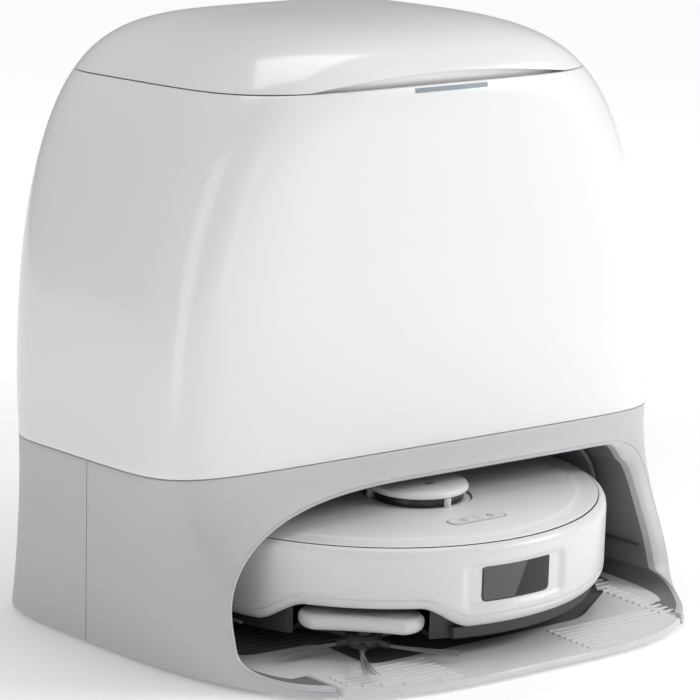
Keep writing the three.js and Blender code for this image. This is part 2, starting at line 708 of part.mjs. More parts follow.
function chassis() {
  const floorZ = CHASSIS_FLOOR + CHASSIS_PLATE;
  const rearHalf = box(-200, 200, BUMPER_TRAVEL + 1, 200, 0, 120);
  const frontHalf = box(-200, 200, -200, 20, 0, 120);
  const plate = disc(CHASSIS_RADIUS, CHASSIS_FLOOR, floorZ);
  const frontWall = overlap(ring(CHASSIS_RADIUS, CHASSIS_RADIUS - 3, CHASSIS_FLOOR, CHASSIS_TOP), frontHalf);
  const rearWall = overlap(turned(bumperProfile()), rearHalf);
  const rearFloor = overlap(disc(ROBOT_RADIUS - 8, floorZ - 1, SHELL_BOTTOM + 3), rearHalf);
  const wells = [-1, 1].map((side) => box(side * WHEEL_X - 19, side * WHEEL_X + 19, -34, 74, 0, 60));
  const brushBay = box(-ROLL_HALF - 9, ROLL_HALF + 9, ROLL_Y - 27, ROLL_Y + 27, 0, 60);
  const casterWell = disc(21, 0, 60, 0, CASTER_Y, 24);
  const rollEnds = [-1, 1].map((side) => {
    const x = side * (ROLL_HALF + 12);
    return box(x - 2, x + 2, ROLL_Y - 27, ROLL_Y + 27, floorZ - 1, 40);
  });
  const spindles = [-1, 1].map((side) => disc(8, 0, 60, side * MOP_X, MOP_Y, 20));
  const body = join(plate, frontWall, rearWall, rearFloor, ...rollEnds);
  return cut(body, ...wells, brushBay, casterWell, armNotch(NOTCH_TOP), armPocket(0, ARM_HIGH + 4), ...spindles);
}

function crownHeight(radius) {
  return SHELL_TOP + 1.5 + (COVER_CROWN - SHELL_TOP - 1.5) * (1 - (radius / COVER_RADIUS) ** 2.6);
}

function topCover() {
  const radii = [COVER_RADIUS - 2.5, 148, 96];
  const top = radii.map((radius) => [radius, crownHeight(radius)]);
  const under = radii
    .map((radius) => [Math.min(radius, COVER_RADIUS - 4), crownHeight(radius) - COVER_WALL])
    .reverse();
  const rim = [[COVER_RADIUS - 4, SHELL_TOP - 3], [COVER_RADIUS, SHELL_TOP - 3], [COVER_RADIUS, SHELL_TOP]];
  const shell = turned([
    [0, crownHeight(0)], ...top.reverse(), ...rim.reverse(), ...under.reverse(),
    [0, crownHeight(0) - COVER_WALL],
  ]);
  const turret = disc(LIDAR_RADIUS + 3 + GAP, 0, 120, 0, LIDAR_Y);
  const panel = raised(panelShape(PANEL_RADIUS + GAP), 0, 120, 8);
  return cut(shell, turret, panel);
}

function panelShape(radius) {
  const reach = PANEL_HALF - PANEL_RADIUS;
  return stadium(new THREE.Vector2(-reach, PANEL_Y), new THREE.Vector2(reach, PANEL_Y), radius);
}

function buttonHalf(side, inset) {
  const half = side > 0 ? box(inset, 60, -200, 0, 0, 120) : box(-60, -inset, -200, 0, 0, 120);
  return overlap(raised(panelShape(PANEL_RADIUS - inset - 0.8), panelTop() - 6, panelTop() + 0.6, 8), half);
}

const panelTop = () => crownHeight(-PANEL_Y);

function buttonBezel() {
  const outer = raised(panelShape(PANEL_RADIUS), panelTop() - 10, panelTop(), 8);
  const inner = raised(panelShape(PANEL_RADIUS - 0.8), panelTop() - 8, panelTop() + 4, 8);
  return cut(outer, inner);
}

// -------------------------------------------------------------------------------- robot turret

function lidarCage() {
  const skirt = turned([
    [LIDAR_RADIUS - 6, 82], [LIDAR_RADIUS + 3, 82], [LIDAR_RADIUS + 3, LIDAR_BASE_Z - 1.5],
    [LIDAR_RADIUS, LIDAR_BASE_Z], [LIDAR_RADIUS - 6, LIDAR_BASE_Z], [LIDAR_RADIUS - 6, 82],
  ], 0, LIDAR_Y, 48);
  const pillars = steps(0, 3, 3).slice(0, 3).map((i) => {
    const angle = THREE.MathUtils.degToRad(30 + 120 * i);
    const x = (LIDAR_BAND_RADIUS - 0.5) * Math.cos(angle);
    const y = LIDAR_Y + (LIDAR_BAND_RADIUS - 0.5) * Math.sin(angle);
    return disc(2.2, LIDAR_BASE_Z - 1, LIDAR_CAP_Z - GAP, x, y, 12);
  });
  return join(skirt, ...pillars);
}

function lidarCap() {
  return turned([
    [0, LIDAR_CAP_Z], [LIDAR_RADIUS, LIDAR_CAP_Z], [LIDAR_RADIUS, LIDAR_TOP_Z - 2],
    [LIDAR_RADIUS - 2, LIDAR_TOP_Z], [0, LIDAR_TOP_Z],
  ], 0, LIDAR_Y, 48);
}

function lidarRotor() {
  const drum = disc(LIDAR_RADIUS - 7, 78, LIDAR_CAP_Z - GAP, 0, LIDAR_Y, 40);
  const eyes = [-1, 1].map((side) => box(side * 12 - 6, side * 12 + 6, LIDAR_Y - 40, LIDAR_Y - 26, 90, 96));
  return cut(drum, ...eyes);
}

// --------------------------------------------------------------------------- robot underside

function sideBrushArm() {
  const body = raised(stadium(ARM_PIVOT, ARM_TIP, ARM_RADIUS), ARM_LOW, ARM_HIGH, 8);
  const waist = disc(17, ARM_LOW - 1, ARM_HIGH + 1, -121, -142, 24);
  const socket = disc(6, ARM_LOW - 1, ARM_LOW + 6, HUB.x, HUB.y, 20);
  return cut(body, waist, socket);
}

function sideBrushHub() {
  const stem = disc(5, BRUSH_LOW, ARM_LOW + 5, HUB.x, HUB.y, 20);
  const cap = disc(12, BRUSH_LOW + 2, BRUSH_LOW + 10, HUB.x, HUB.y, 24);
  const tufts = Array.from({ length: BRISTLE_COUNT }, (_, i) => {
    const tuft = new THREE.BoxGeometry(BRISTLE_REACH, 4, 3);
    tuft.translate(BRISTLE_REACH / 2, 0, 0);
    tuft.rotateZ(THREE.MathUtils.degToRad(15) + (i / BRISTLE_COUNT) * Math.PI * 2);
    tuft.translate(HUB.x, HUB.y, BRUSH_LOW + 2.6);
    return toSolid(tuft);
  });
  return join(stem, cap, ...tufts);
}

function driveWheel(side) {
  const x = side * WHEEL_X;
  const half = WHEEL_WIDTH / 2;
  const tread = rod(WHEEL_RADIUS, x - half, x + half, WHEEL_Y, WHEEL_RADIUS + GAP, 36);
  const outer = rod(WHEEL_RADIUS - 10, x + side * half - 4, x + side * half + 4, WHEEL_Y, WHEEL_RADIUS + GAP);
  const bore = rod(5, x - half - 1, x + half + 1, WHEEL_Y, WHEEL_RADIUS + GAP, 16);
  return cut(tread, outer, bore);
}

function wheelArm(side) {
  const inner = side * (WHEEL_X - WHEEL_WIDTH / 2 - 1);
  const outer = inner - side * 5;
  const [x0, x1] = [Math.min(inner, outer), Math.max(inner, outer)];
  const axleEnd = side * (WHEEL_X + 4);
  const [a0, a1] = [Math.min(inner, axleEnd), Math.max(inner, axleEnd)];
  const plate = box(x0, x1, WHEEL_Y - 12, WHEEL_ARM_PIVOT_Y + 8, WHEEL_RADIUS - 8, WHEEL_RADIUS + 12);
  const axle = rod(4.4, a0, a1, WHEEL_Y, WHEEL_RADIUS + GAP, 16);
  const pivot = rod(5, side * WHEEL_X - 15, side * WHEEL_X + 15, WHEEL_ARM_PIVOT_Y, WHEEL_ARM_PIVOT_Z, 16);
  return join(plate, axle, pivot);
}

function brushRoll() {
  const core = rod(ROLL_RADIUS - 5, -ROLL_HALF, ROLL_HALF, ROLL_Y, ROLL_Z, 24);
  const stub = rod(3, -ROLL_HALF - 6, ROLL_HALF + 6, ROLL_Y, ROLL_Z, 16);
  const blades = steps(0, 6, 6).slice(0, 6).map((i) => {
    const blade = new THREE.BoxGeometry(ROLL_HALF * 2 - 4, 2.4, 6);
    blade.translate(0, 0, ROLL_RADIUS - 3);
    blade.rotateX((i / 6) * Math.PI * 2);
    blade.translate(0, ROLL_Y, ROLL_Z);
    return toSolid(blade);
  });
  return join(core, stub, ...blades);
}

function brushGuard() {
  const plate = box(-ROLL_HALF - 8.4, ROLL_HALF + 8.4, ROLL_Y - 26, ROLL_Y + 26, 9, 12);
  const mouth = box(-ROLL_HALF - 1, ROLL_HALF + 1, ROLL_Y - 17.2, ROLL_Y + 17.2, 0, 30);
  const ends = [-1, 1].map((side) => {
    const x = side * (ROLL_HALF + 5.2);
    return cut(
      box(x - 3, x + 3, ROLL_Y - 14, ROLL_Y + 14, 11, 30),
      rod(3 + GAP, -ROLL_HALF - 7, ROLL_HALF + 7, ROLL_Y, ROLL_Z, 16),
    );
  });
  return join(cut(plate, mouth), ...ends);
}

function casterFork() {
  const crown = disc(18, 24, 30, 0, CASTER_Y, 28);
  const stem = disc(6, 29, 44, 0, CASTER_Y, 20);
  const cheeks = [-1, 1].map((side) => box(side * 10 - 2, side * 10 + 2, CASTER_Y - 8, CASTER_Y + 8, 8, 26));
  const axle = rod(2, -11, 11, CASTER_Y, CASTER_RADIUS + GAP, 12);
  return join(crown, stem, ...cheeks, axle);
}

function casterWheel() {
  const wheel = rod(CASTER_RADIUS, -7.4, 7.4, CASTER_Y, CASTER_RADIUS + GAP, 28);
  return cut(wheel, rod(2 + GAP, -8, 8, CASTER_Y, CASTER_RADIUS + GAP, 12));
}

function mopHolder(side) {
  const x = side * MOP_X;
  const low = PAD_HIGH + GAP;
  const plate = turned([[0, low], [MOP_RADIUS - 4, low], [MOP_RADIUS - 6, 11], [0, 11]], x, MOP_Y, 44);
  return join(plate, disc(7, 10, 34, x, MOP_Y, 20));
}

function mopPad(side) {
  const x = side * MOP_X;
  return turned([[0, PAD_LOW], [MOP_RADIUS - 3, PAD_LOW], [MOP_RADIUS, PAD_LOW + 2.5], [MOP_RADIUS - 2, PAD_HIGH],
    [0, PAD_HIGH]], x, MOP_Y, 44);
}

function dustbin() {
  const bin = box(-84, 84, 34, 126, 36, 78);
  const inside = box(-81, 81, 37, 123, 39, 79);
  const lid = box(-81, 81, 37, 123, 75, 78);
  const port = box(60, 90, 60, 80, 50, 66);
  return cut(join(cut(bin, inside), cut(lid, box(-40, 40, 50, 90, 70, 80))), port);
}

function battery() {
  return box(-48, 48, -112, -52, 40, 76);
}

// ----------------------------------------------------------------------------------- assembly

add(group, 'base_front_skirt', frontSkirt(), 'base');
add(group, 'base_rear_shell', rearShell(), 'base');
add(group, 'garage_hood', garageHood(), 'liner');
add(group, 'wash_tray', washTray(), 'tray');
add(group, 'wash_board', washBoard(), 'silver');
add(group, 'upper_shell', upperShell(), 'shell');
add(group, 'top_lid', topLid(), 'shell');
add(group, 'lid_hinge_pin', hingePin(), 'steel');
add(group, 'status_bar', statusBar(), 'silver');
add(group, 'tank_deck', tankDeck(), 'grey');
add(group, 'clean_water_tank', tank(-1), 'clear');
add(group, 'dirty_water_tank', tank(1), 'smoke');
add(group, 'clean_tank_cap', tankCap(-1), 'grey');
add(group, 'dirty_tank_cap', tankCap(1), 'grey');
add(group, 'clean_tank_handle', tankHandle(-1), 'grey');
add(group, 'dirty_tank_handle', tankHandle(1), 'grey');
add(group, 'dust_bag', dustBag(), 'paper');
add(group, 'dust_bag_card', dustBagCard(), 'silver');
add(group, 'suction_motor', suctionMotor(), 'grey');
add(group, 'drying_fan', dryingFan(), 'grey');
add(group, 'water_pump', waterPump(), 'grey');
add(group, 'power_inlet', powerInlet(), 'black');
add(group, 'exhaust_grille', exhaustGrille(), 'grey');
add(group, 'charging_contact_left', chargingContact(-1), 'copper');
add(group, 'charging_contact_right', chargingContact(1), 'copper');
feet();

add(robot, 'robot_chassis', chassis(), 'silver');
add(robot, 'robot_cover', topCover(), 'robot');
add(robot, 'bumper', bumper(), 'robot');
add(robot, 'bumper_trim', bumperTrim(), 'silver');
add(robot, 'sensor_window', sensorWindow(), 'black');
add(robot, 'button_bezel', buttonBezel(), 'silver');
add(robot, 'dock_button', buttonHalf(-1, 0.4), 'robot');
add(robot, 'power_button', buttonHalf(1, 0.4), 'robot');
add(robot, 'lidar_cage', lidarCage(), 'robot');
add(robot, 'lidar_cap', lidarCap(), 'robot');
add(robot, 'lidar_rotor', lidarRotor(), 'black');
add(robot, 'side_brush_arm', sideBrushArm(), 'robot');
add(robot, 'side_brush_hub', sideBrushHub(), 'grey');
add(robot, 'wheel_arm_left', wheelArm(-1), 'grey');
add(robot, 'wheel_arm_right', wheelArm(1), 'grey');
add(robot, 'drive_wheel_left', driveWheel(-1), 'rubber');
add(robot, 'drive_wheel_right', driveWheel(1), 'rubber');
add(robot, 'brush_roll', brushRoll(), 'rubber');
add(robot, 'brush_guard', brushGuard(), 'grey');
add(robot, 'caster_fork', casterFork(), 'grey');
add(robot, 'caster_wheel', casterWheel(), 'rubber');
add(robot, 'mop_holder_left', mopHolder(-1), 'grey');
add(robot, 'mop_holder_right', mopHolder(1), 'grey');
add(robot, 'mop_pad_left', mopPad(-1), 'fabric');
add(robot, 'mop_pad_right', mopPad(1), 'fabric');
add(robot, 'dustbin', dustbin(), 'smoke');
add(robot, 'battery', battery(), 'grey');

export default group;
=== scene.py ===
import json
import math

import bmesh
import bpy
import numpy as np
from mathutils import Matrix, Vector


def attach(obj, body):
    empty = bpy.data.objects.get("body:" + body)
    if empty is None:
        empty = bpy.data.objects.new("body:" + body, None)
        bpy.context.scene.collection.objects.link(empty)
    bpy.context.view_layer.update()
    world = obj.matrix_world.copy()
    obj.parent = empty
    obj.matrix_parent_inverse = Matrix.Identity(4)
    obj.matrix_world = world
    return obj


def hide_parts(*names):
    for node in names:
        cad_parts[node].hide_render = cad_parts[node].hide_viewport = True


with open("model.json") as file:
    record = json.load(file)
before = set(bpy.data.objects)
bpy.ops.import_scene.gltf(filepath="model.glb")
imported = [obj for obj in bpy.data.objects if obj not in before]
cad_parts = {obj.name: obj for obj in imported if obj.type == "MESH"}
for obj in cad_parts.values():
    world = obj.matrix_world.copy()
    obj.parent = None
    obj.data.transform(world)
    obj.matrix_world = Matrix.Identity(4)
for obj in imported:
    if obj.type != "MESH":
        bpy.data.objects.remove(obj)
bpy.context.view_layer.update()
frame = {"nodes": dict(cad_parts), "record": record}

bl_info = {
    "name": "Robot vacuum and dock finish",
    "version": (1, 0, 0),
    "blender": (4, 5, 0),
    "location": "3D View > Sidebar > Robot dock",
    "description": "Builds the smooth skins, fittings and finishes of a robot vacuum parked in its dock",
    "category": "Object",
}

MM = 0.001
TURN = 2 * math.pi

# Dock, in millimetres, as in the part's own source.
DOCK_HEIGHT = 455.0
SEAM = 145.7
RIM = 411.8
LID_LOW = 412.6
BODY_HALF = 234.0
FLOOR_HALF = 220.0
BODY_CENTRE = 72.0
BODY_FRONT = 167.0
BODY_LEAN = 13.0
BODY_REAR = 95.0
LIP_REACH = 133.0
HEEL_REACH = 55.0
WALL = 4.0
FOOT = 3.0
HINGE_Y = BODY_CENTRE + BODY_REAR - 1.6
HINGE_Z = RIM + 2.4
HINGE_BARREL = 6.5
COLUMNS = 256

# Robot, in its own level frame.
ROBOT_Y = -15.0
ROBOT_Z = 18.0
PITCH = math.radians(2.67)
ROBOT_RADIUS = 175.0
SHELL_TOP = 83.0
SHELL_LOW = 22.0
COVER_RADIUS = 168.6
LIDAR_Y = -53.0
LIDAR_RADIUS = 37.6
HUB = (-97.0, -118.0)
ARM_TIP = (-117.0, -98.0)
ARM_PIVOT = (-79.0, -134.0)
MOP_X = 71.0
MOP_Y = 88.0
WHEEL = (117.0, 8.0, 36.4)
ROLL = (-20.0, 19.5)
SEAM_GAP = 0.3
LINER_SET_BACK = 7.5
BAR_SHIFT = 5.0
BAR_HALF = 33.0
SPLIT_FLOOR_Y = 42.0
SPLIT_SEAM_Y = 15.0


# ------------------------------------------------------------------ shapes shared by pieces

def outline_at(z):
    """Half width, front and rear reach, and squareness of the dock's outline at a height."""
    if z >= SEAM:
        u = min((z - SEAM) / (DOCK_HEIGHT - SEAM), 1.0)
        crown = (1 - u ** 20) ** (1 / 3)
        half = BODY_HALF * (1 - u ** 2.2) ** 0.246
        return half, (BODY_FRONT + BODY_LEAN * u) * crown, BODY_REAR * crown, 8 - 4 * u * u, 3.3 + 1.2 * u
    t = (SEAM - z) / SEAM
    flare = t ** 1.8
    half = BODY_HALF - (BODY_HALF - FLOOR_HALF) * t
    rear = BODY_REAR + HEEL_REACH * t ** 1.3
    return half, BODY_FRONT + LIP_REACH * flare, rear, 8 - 4.7 * flare ** 0.6, 3.3 + 0.2 * t


def quarter(a, b, power, count):
    """Evenly spaced points of a quarter superellipse from (a, 0) to (0, b)."""
    angle = np.linspace(0, math.pi / 2, 600)
    c, s = np.cos(angle), np.sin(angle)
    r = (c ** power + s ** power) ** (-1 / power)
    x, y = a * r * c, b * r * s
    along = np.r_[0, np.cumsum(np.hypot(np.diff(x), np.diff(y)))]
    at = np.linspace(0, along[-1], count + 1)
    return np.c_[np.interp(at, along, x), np.interp(at, along, y)]


def outline_ring(z, inset=0.0, columns=COLUMNS):
    half, front, rear, front_power, rear_power = outline_at(z)
    count = columns // 4
    back = quarter(max(half - inset, 1), max(rear - inset, 1), rear_power, count)
    fore = quarter(max(half - inset, 1), max(front - inset, 1), front_power, count)
    parts = [back[:-1], (back[::-1] * (-1, 1))[:-1], (fore * (-1, -1))[:-1], (fore[::-1] * (1, -1))[:-1]]
    flat = np.vstack(parts)
    return np.c_[flat[:, 0], BODY_CENTRE + flat[:, 1], np.full(len(flat), float(z))]


def front_y(x, z, inset=0.0):
    half, front, _, power, _ = outline_at(z)
    share = min(abs(x) / (half - inset), 1.0)
    return BODY_CENTRE - (front - inset) * (1 - share ** power) ** (1 / power)


def seat(points):
    """From the robot's own frame to the dock's, in millimetres."""
    p = np.atleast_2d(np.array(points, float))
    c, s = math.cos(PITCH), math.sin(PITCH)
    return np.c_[p[:, 0], ROBOT_Y + p[:, 1] * c - p[:, 2] * s, ROBOT_Z + p[:, 1] * s + p[:, 2] * c]


def mesh_object(name, points, faces):
    mesh = bpy.data.meshes.new(name)
    mesh.from_pydata((np.array(points, float) * MM).tolist(), [], [list(map(int, f)) for f in faces])
    mesh.validate()
    obj = bpy.data.objects.new(name, mesh)
    bpy.context.scene.collection.objects.link(obj)
    return obj


def ring_faces(rings, columns, closed):
    faces = []
    for level in range(rings if closed else rings - 1):
        low = level * columns
        high = ((level + 1) % rings) * columns
        for i in range(columns):
            j = (i + 1) % columns
            faces.append((low + i, low + j, high + j, high + i))
    return faces


def skin(name, rings, closed=True, robot=False):
    """A body through rings of points, closed back to its first ring or capped at both ends."""
    columns = len(rings[0])
    points = np.vstack(rings)
    faces = ring_faces(len(rings), columns, closed)
    if not closed:
        last = (len(rings) - 1) * columns
        faces.append(tuple(range(columns - 1, -1, -1)))
        faces.append(tuple(range(last, last + columns)))
    obj = mesh_object(name, seat(points) if robot else points, faces)
    return outward(obj)


def outward(obj):
    bm = bmesh.new()
    bm.from_mesh(obj.data)
    bmesh.ops.recalc_face_normals(bm, faces=bm.faces)
    bm.to_mesh(obj.data)
    bm.free()
    return obj


def strip(name, rings):
    """A closed band of open rings, with a flat cap at each end."""
    count, columns = len(rings), len(rings[0])
    faces = []
    for level in range(count):
        low, high = level * columns, (level + 1) % count * columns
        faces += [(low + i, low + i + 1, high + i + 1, high + i) for i in range(columns - 1)]
    faces.append(tuple(level * columns for level in range(count)))
    faces.append(tuple(level * columns + columns - 1 for level in range(count - 1, -1, -1)))
    return outward(mesh_object(name, np.vstack(rings), faces))


def turned(name, profile, centre=(0.0, 0.0), steps=160, robot=True):
    """A closed profile of (radius, height) turned about an upright line."""
    angle = np.linspace(0, TURN, steps, endpoint=False)
    on_axis = profile[0][0] < 1e-6 and profile[-1][0] < 1e-6
    inner = profile[1:-1] if on_axis else profile
    rings = [np.c_[centre[0] + r * np.cos(angle), centre[1] + r * np.sin(angle),
                   np.full(steps, float(z))] for r, z in inner]
    if not on_axis:
        return skin(name, rings, True, robot)
    points = np.vstack(rings + [np.array([[*centre, profile[0][1]], [*centre, profile[-1][1]]])])
    faces = ring_faces(len(rings), steps, False)
    first = len(rings) * steps
    last = (len(rings) - 1) * steps
    for i in range(steps):
        j = (i + 1) % steps
        faces.append((first, j, i))
        faces.append((first + 1, last + i, last + j))
    return outward(mesh_object(name, seat(points) if robot else points, faces))


def rounded(corners, radius, steps=6):
    """Corner points of an outline, each turned into a small arc."""
    result = []
    count = len(corners)
    for i, corner in enumerate(corners):
        here = np.array(corner, float)
        before = np.array(corners[i - 1], float) - here
        after = np.array(corners[(i + 1) % count], float) - here
        reach = min(radius, np.hypot(*before) / 2.01, np.hypot(*after) / 2.01)
        start = here + before / np.hypot(*before) * reach
        end = here + after / np.hypot(*after) * reach
        for t in np.linspace(0, 1, steps):
            result.append((1 - t) ** 2 * start + 2 * t * (1 - t) * here + t * t * end)
    return np.array(result)


def rounded_box(x0, y0, x1, y1, radius, steps=6):
    """A rectangle with rounded corners."""
    return rounded([(x0, y0), (x1, y0), (x1, y1), (x0, y1)], radius, steps)


def prism(name, outline, low, high, axis="z", robot=False, soft=0.0):
    """An outline run between two levels along Z or Y, with its edges softened."""
    flat = np.array(outline, float)
    middle = flat.mean(0)
    span = np.abs(flat - middle).max()
    shrink = 1 - soft / span if soft else 1.0
    levels = [(low, shrink), (low + soft, 1.0), (high - soft, 1.0),
              (high, shrink)] if soft else [(low, 1), (high, 1)]
    rings = []
    for level, scale in levels:
        ring = middle + (flat - middle) * scale
        column = np.full(len(flat), float(level))
        rings.append(np.c_[ring, column] if axis == "z" else np.c_[ring[:, 0], column, ring[:, 1]])
    return skin(name, rings, False, robot)


def block(name, low, high, robot=False, soft=0.0):
    corners = [(low[0], low[1]), (high[0], low[1]), (high[0], high[1]), (low[0], high[1])]
    return prism(name, rounded(corners, max(soft * 2, 0.01), 5 if soft else 2), low[2], high[2], "z", robot,
                 soft)


def rod(name, start, end, radius, steps=40, robot=False):
    a, b = Vector(start), Vector(end)
    turn = (b - a).to_track_quat("Z", "Y").to_matrix()
    angle = np.linspace(0, TURN, steps, endpoint=False)
    soft = min(radius * 0.15, 0.6)
    rings = []
    for along, r in ((0, radius - soft), (soft, radius), ((b - a).length - soft, radius),
                     ((b - a).length, radius - soft)):
        ring = [a + turn @ Vector((r * math.cos(t), r * math.sin(t), along)) for t in angle]
        rings.append(np.array([list(p) for p in ring]))
    return skin(name, rings, False, robot)


def settle(obj):
    """Applies what modifiers are on an object and leaves a plain mesh."""
    depsgraph = bpy.context.evaluated_depsgraph_get()
    mesh = bpy.data.meshes.new_from_object(obj.evaluated_get(depsgraph))
    obj.modifiers.clear()
    obj.data = mesh
    return obj


def shape(obj, operation, *cutters):
    for cutter in cutters:
        modifier = obj.modifiers.new("shape", "BOOLEAN")
        modifier.operation = operation
        modifier.solver = "EXACT"
        modifier.object = cutter
    bpy.context.view_layer.update()
    settle(obj)
    for cutter in cutters:
        bpy.data.objects.remove(cutter)
    return obj


def cut(obj, *cutters):
    return shape(obj, "DIFFERENCE", *cutters)


def merged(name, *objects):
    """Several closed bodies kept as one piece."""
    bm = bmesh.new()
    for obj in objects:
        bm.from_mesh(obj.data)
        bpy.data.objects.remove(obj)
    mesh = bpy.data.meshes.new(name)
    bm.to_mesh(mesh)
    bm.free()
    result = bpy.data.objects.new(name, mesh)
    bpy.context.scene.collection.objects.link(result)
    return result


def finished(obj, body, material, replaces=(), smooth=32.0):
    obj.data.materials.clear()
    obj.data.materials.append(FINISHES[material]())
    for polygon in obj.data.polygons:
        polygon.use_smooth = True
        polygon.material_index = 0
    obj.data.set_sharp_from_angle(angle=math.radians(smooth))
    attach(obj, body)
    if replaces:
        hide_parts(*replaces)
    return obj


# --------------------------------------------------------------------------------- finishes

def plastic(name, colour, rough, bump=0.02, grain=900.0, cloud=0.03, coat=0.0, metal=0.0, dust=0.0):
    """A moulded finish: slow colour drift, fine grain in the gloss, and a fine bump."""
    found = bpy.data.materials.get(name)
    if found:
        return found
    material = bpy.data.materials.new(name)
    material.use_nodes = True
    nodes, links = material.node_tree.nodes, material.node_tree.links
    shader = nodes["Principled BSDF"]
    shader.inputs["Metallic"].default_value = metal
    shader.inputs["Coat Weight"].default_value = coat
    shader.inputs["Coat Roughness"].default_value = 0.08
    place = nodes.new("ShaderNodeTexCoord")
    drift = nodes.new("ShaderNodeTexNoise")
    drift.inputs["Scale"].default_value = 7.0
    drift.inputs["Detail"].default_value = 4.0
    fine = nodes.new("ShaderNodeTexNoise")
    fine.inputs["Scale"].default_value = grain
    fine.inputs["Detail"].default_value = 3.0
    links.new(place.outputs["Object"], drift.inputs["Vector"])
    links.new(place.outputs["Object"], fine.inputs["Vector"])
    tint = nodes.new("ShaderNodeValToRGB")
    low = [max(c * (1 - cloud), 0) for c in colour]
    high = [min(c * (1 + cloud), 1) for c in colour]
    tint.color_ramp.elements[0].position = 0.0
    tint.color_ramp.elements[1].position = 1.0
    tint.color_ramp.elements[0].color = (*low, 1)
    tint.color_ramp.elements[1].color = (*high, 1)
    links.new(drift.outputs["Fac"], tint.inputs["Fac"])
    colour_out = tint.outputs["Color"]
    if dust:
        specks = nodes.new("ShaderNodeTexNoise")
        specks.inputs["Scale"].default_value = grain * 0.4
        specks.inputs["Detail"].default_value = 6.0
        links.new(place.outputs["Object"], specks.inputs["Vector"])
        mix = nodes.new("ShaderNodeMix")
        mix.data_type = "RGBA"
        mix.inputs["B"].default_value = (*[min(c * 1.3 + 0.04, 1) for c in colour], 1)
        mask = nodes.new("ShaderNodeMapRange")
        mask.inputs["From Min"].default_value = 0.55
        mask.inputs["From Max"].default_value = 0.8
        mask.inputs["To Max"].default_value = dust
        links.new(specks.outputs["Fac"], mask.inputs["Value"])
        links.new(mask.outputs["Result"], mix.inputs["Factor"])
        links.new(colour_out, mix.inputs["A"])
        colour_out = mix.outputs["Result"]
    links.new(colour_out, shader.inputs["Base Color"])
    gloss = nodes.new("ShaderNodeMapRange")
    gloss.inputs["To Min"].default_value = max(rough - 0.05, 0.02)
    gloss.inputs["To Max"].default_value = min(rough + 0.06, 1)
    links.new(drift.outputs["Fac"], gloss.inputs["Value"])
    links.new(gloss.outputs["Result"], shader.inputs["Roughness"])
    relief = nodes.new("ShaderNodeBump")
    relief.inputs["Strength"].default_value = bump
    relief.inputs["Distance"].default_value = 0.0004
    links.new(fine.outputs["Fac"], relief.inputs["Height"])
    links.new(relief.outputs["Normal"], shader.inputs["Normal"])
    return material


def window_glass():
    """Polished black with a painted reflection: a lighter grey slanting band over its left part."""
    material = bpy.data.materials.get("window black")
    if material:
        return material
    material = plastic("window black", (0.012, 0.012, 0.014), 0.12, 0.004, 600, 0.1, 0.0)
    nodes, links = material.node_tree.nodes, material.node_tree.links
    shader = nodes["Principled BSDF"]
    old = shader.inputs["Base Color"].links[0].from_socket
    place = nodes.new("ShaderNodeTexCoord")
    apart = nodes.new("ShaderNodeSeparateXYZ")
    links.new(place.outputs["Object"], apart.inputs["Vector"])
    lean = nodes.new("ShaderNodeMath")
    lean.operation = "MULTIPLY_ADD"
    lean.inputs[1].default_value = -0.45
    links.new(apart.outputs["Z"], lean.inputs[0])
    links.new(apart.outputs["X"], lean.inputs[2])
    edge = nodes.new("ShaderNodeMapRange")
    edge.inputs["From Min"].default_value = -0.0262
    edge.inputs["From Max"].default_value = -0.0257
    edge.inputs["To Min"].default_value = 1.0
    edge.inputs["To Max"].default_value = 0.0
    links.new(lean.outputs["Value"], edge.inputs["Value"])
    # painted reflection: lighter grey mixed into the black, left of a slanting edge
    mix = nodes.new("ShaderNodeMix")
    mix.data_type = "RGBA"
    mix.inputs["B"].default_value = (0.1, 0.103, 0.108, 1)
    links.new(edge.outputs["Result"], mix.inputs["Factor"])
    links.new(old, mix.inputs["A"])
    links.new(mix.outputs["Result"], shader.inputs["Base Color"])
    return material


def tank_wall(name, colour, alpha):
    material = bpy.data.materials.get(name)
    if material:
        return material
    material = plastic(name, colour, 0.12, 0.01, 500, 0.05, 0.2)
    material.node_tree.nodes["Principled BSDF"].inputs["Alpha"].default_value = alpha
    return material


def cloth(name, colour, scale, depth):
    """Looped or felted fabric: crossing waves with a soft nap."""
    material = bpy.data.materials.get(name)
    if material:
        return material
    material = plastic(name, colour, 0.92, 0.5, scale, 0.16, 0.0, 0.0, 0.35)
    shader = material.node_tree.nodes["Principled BSDF"]
    shader.inputs["Sheen Weight"].default_value = 0.4
    for node in material.node_tree.nodes:
        if node.type == "BUMP":
            node.inputs["Distance"].default_value = depth
            node.inputs["Strength"].default_value = 0.9
    return material


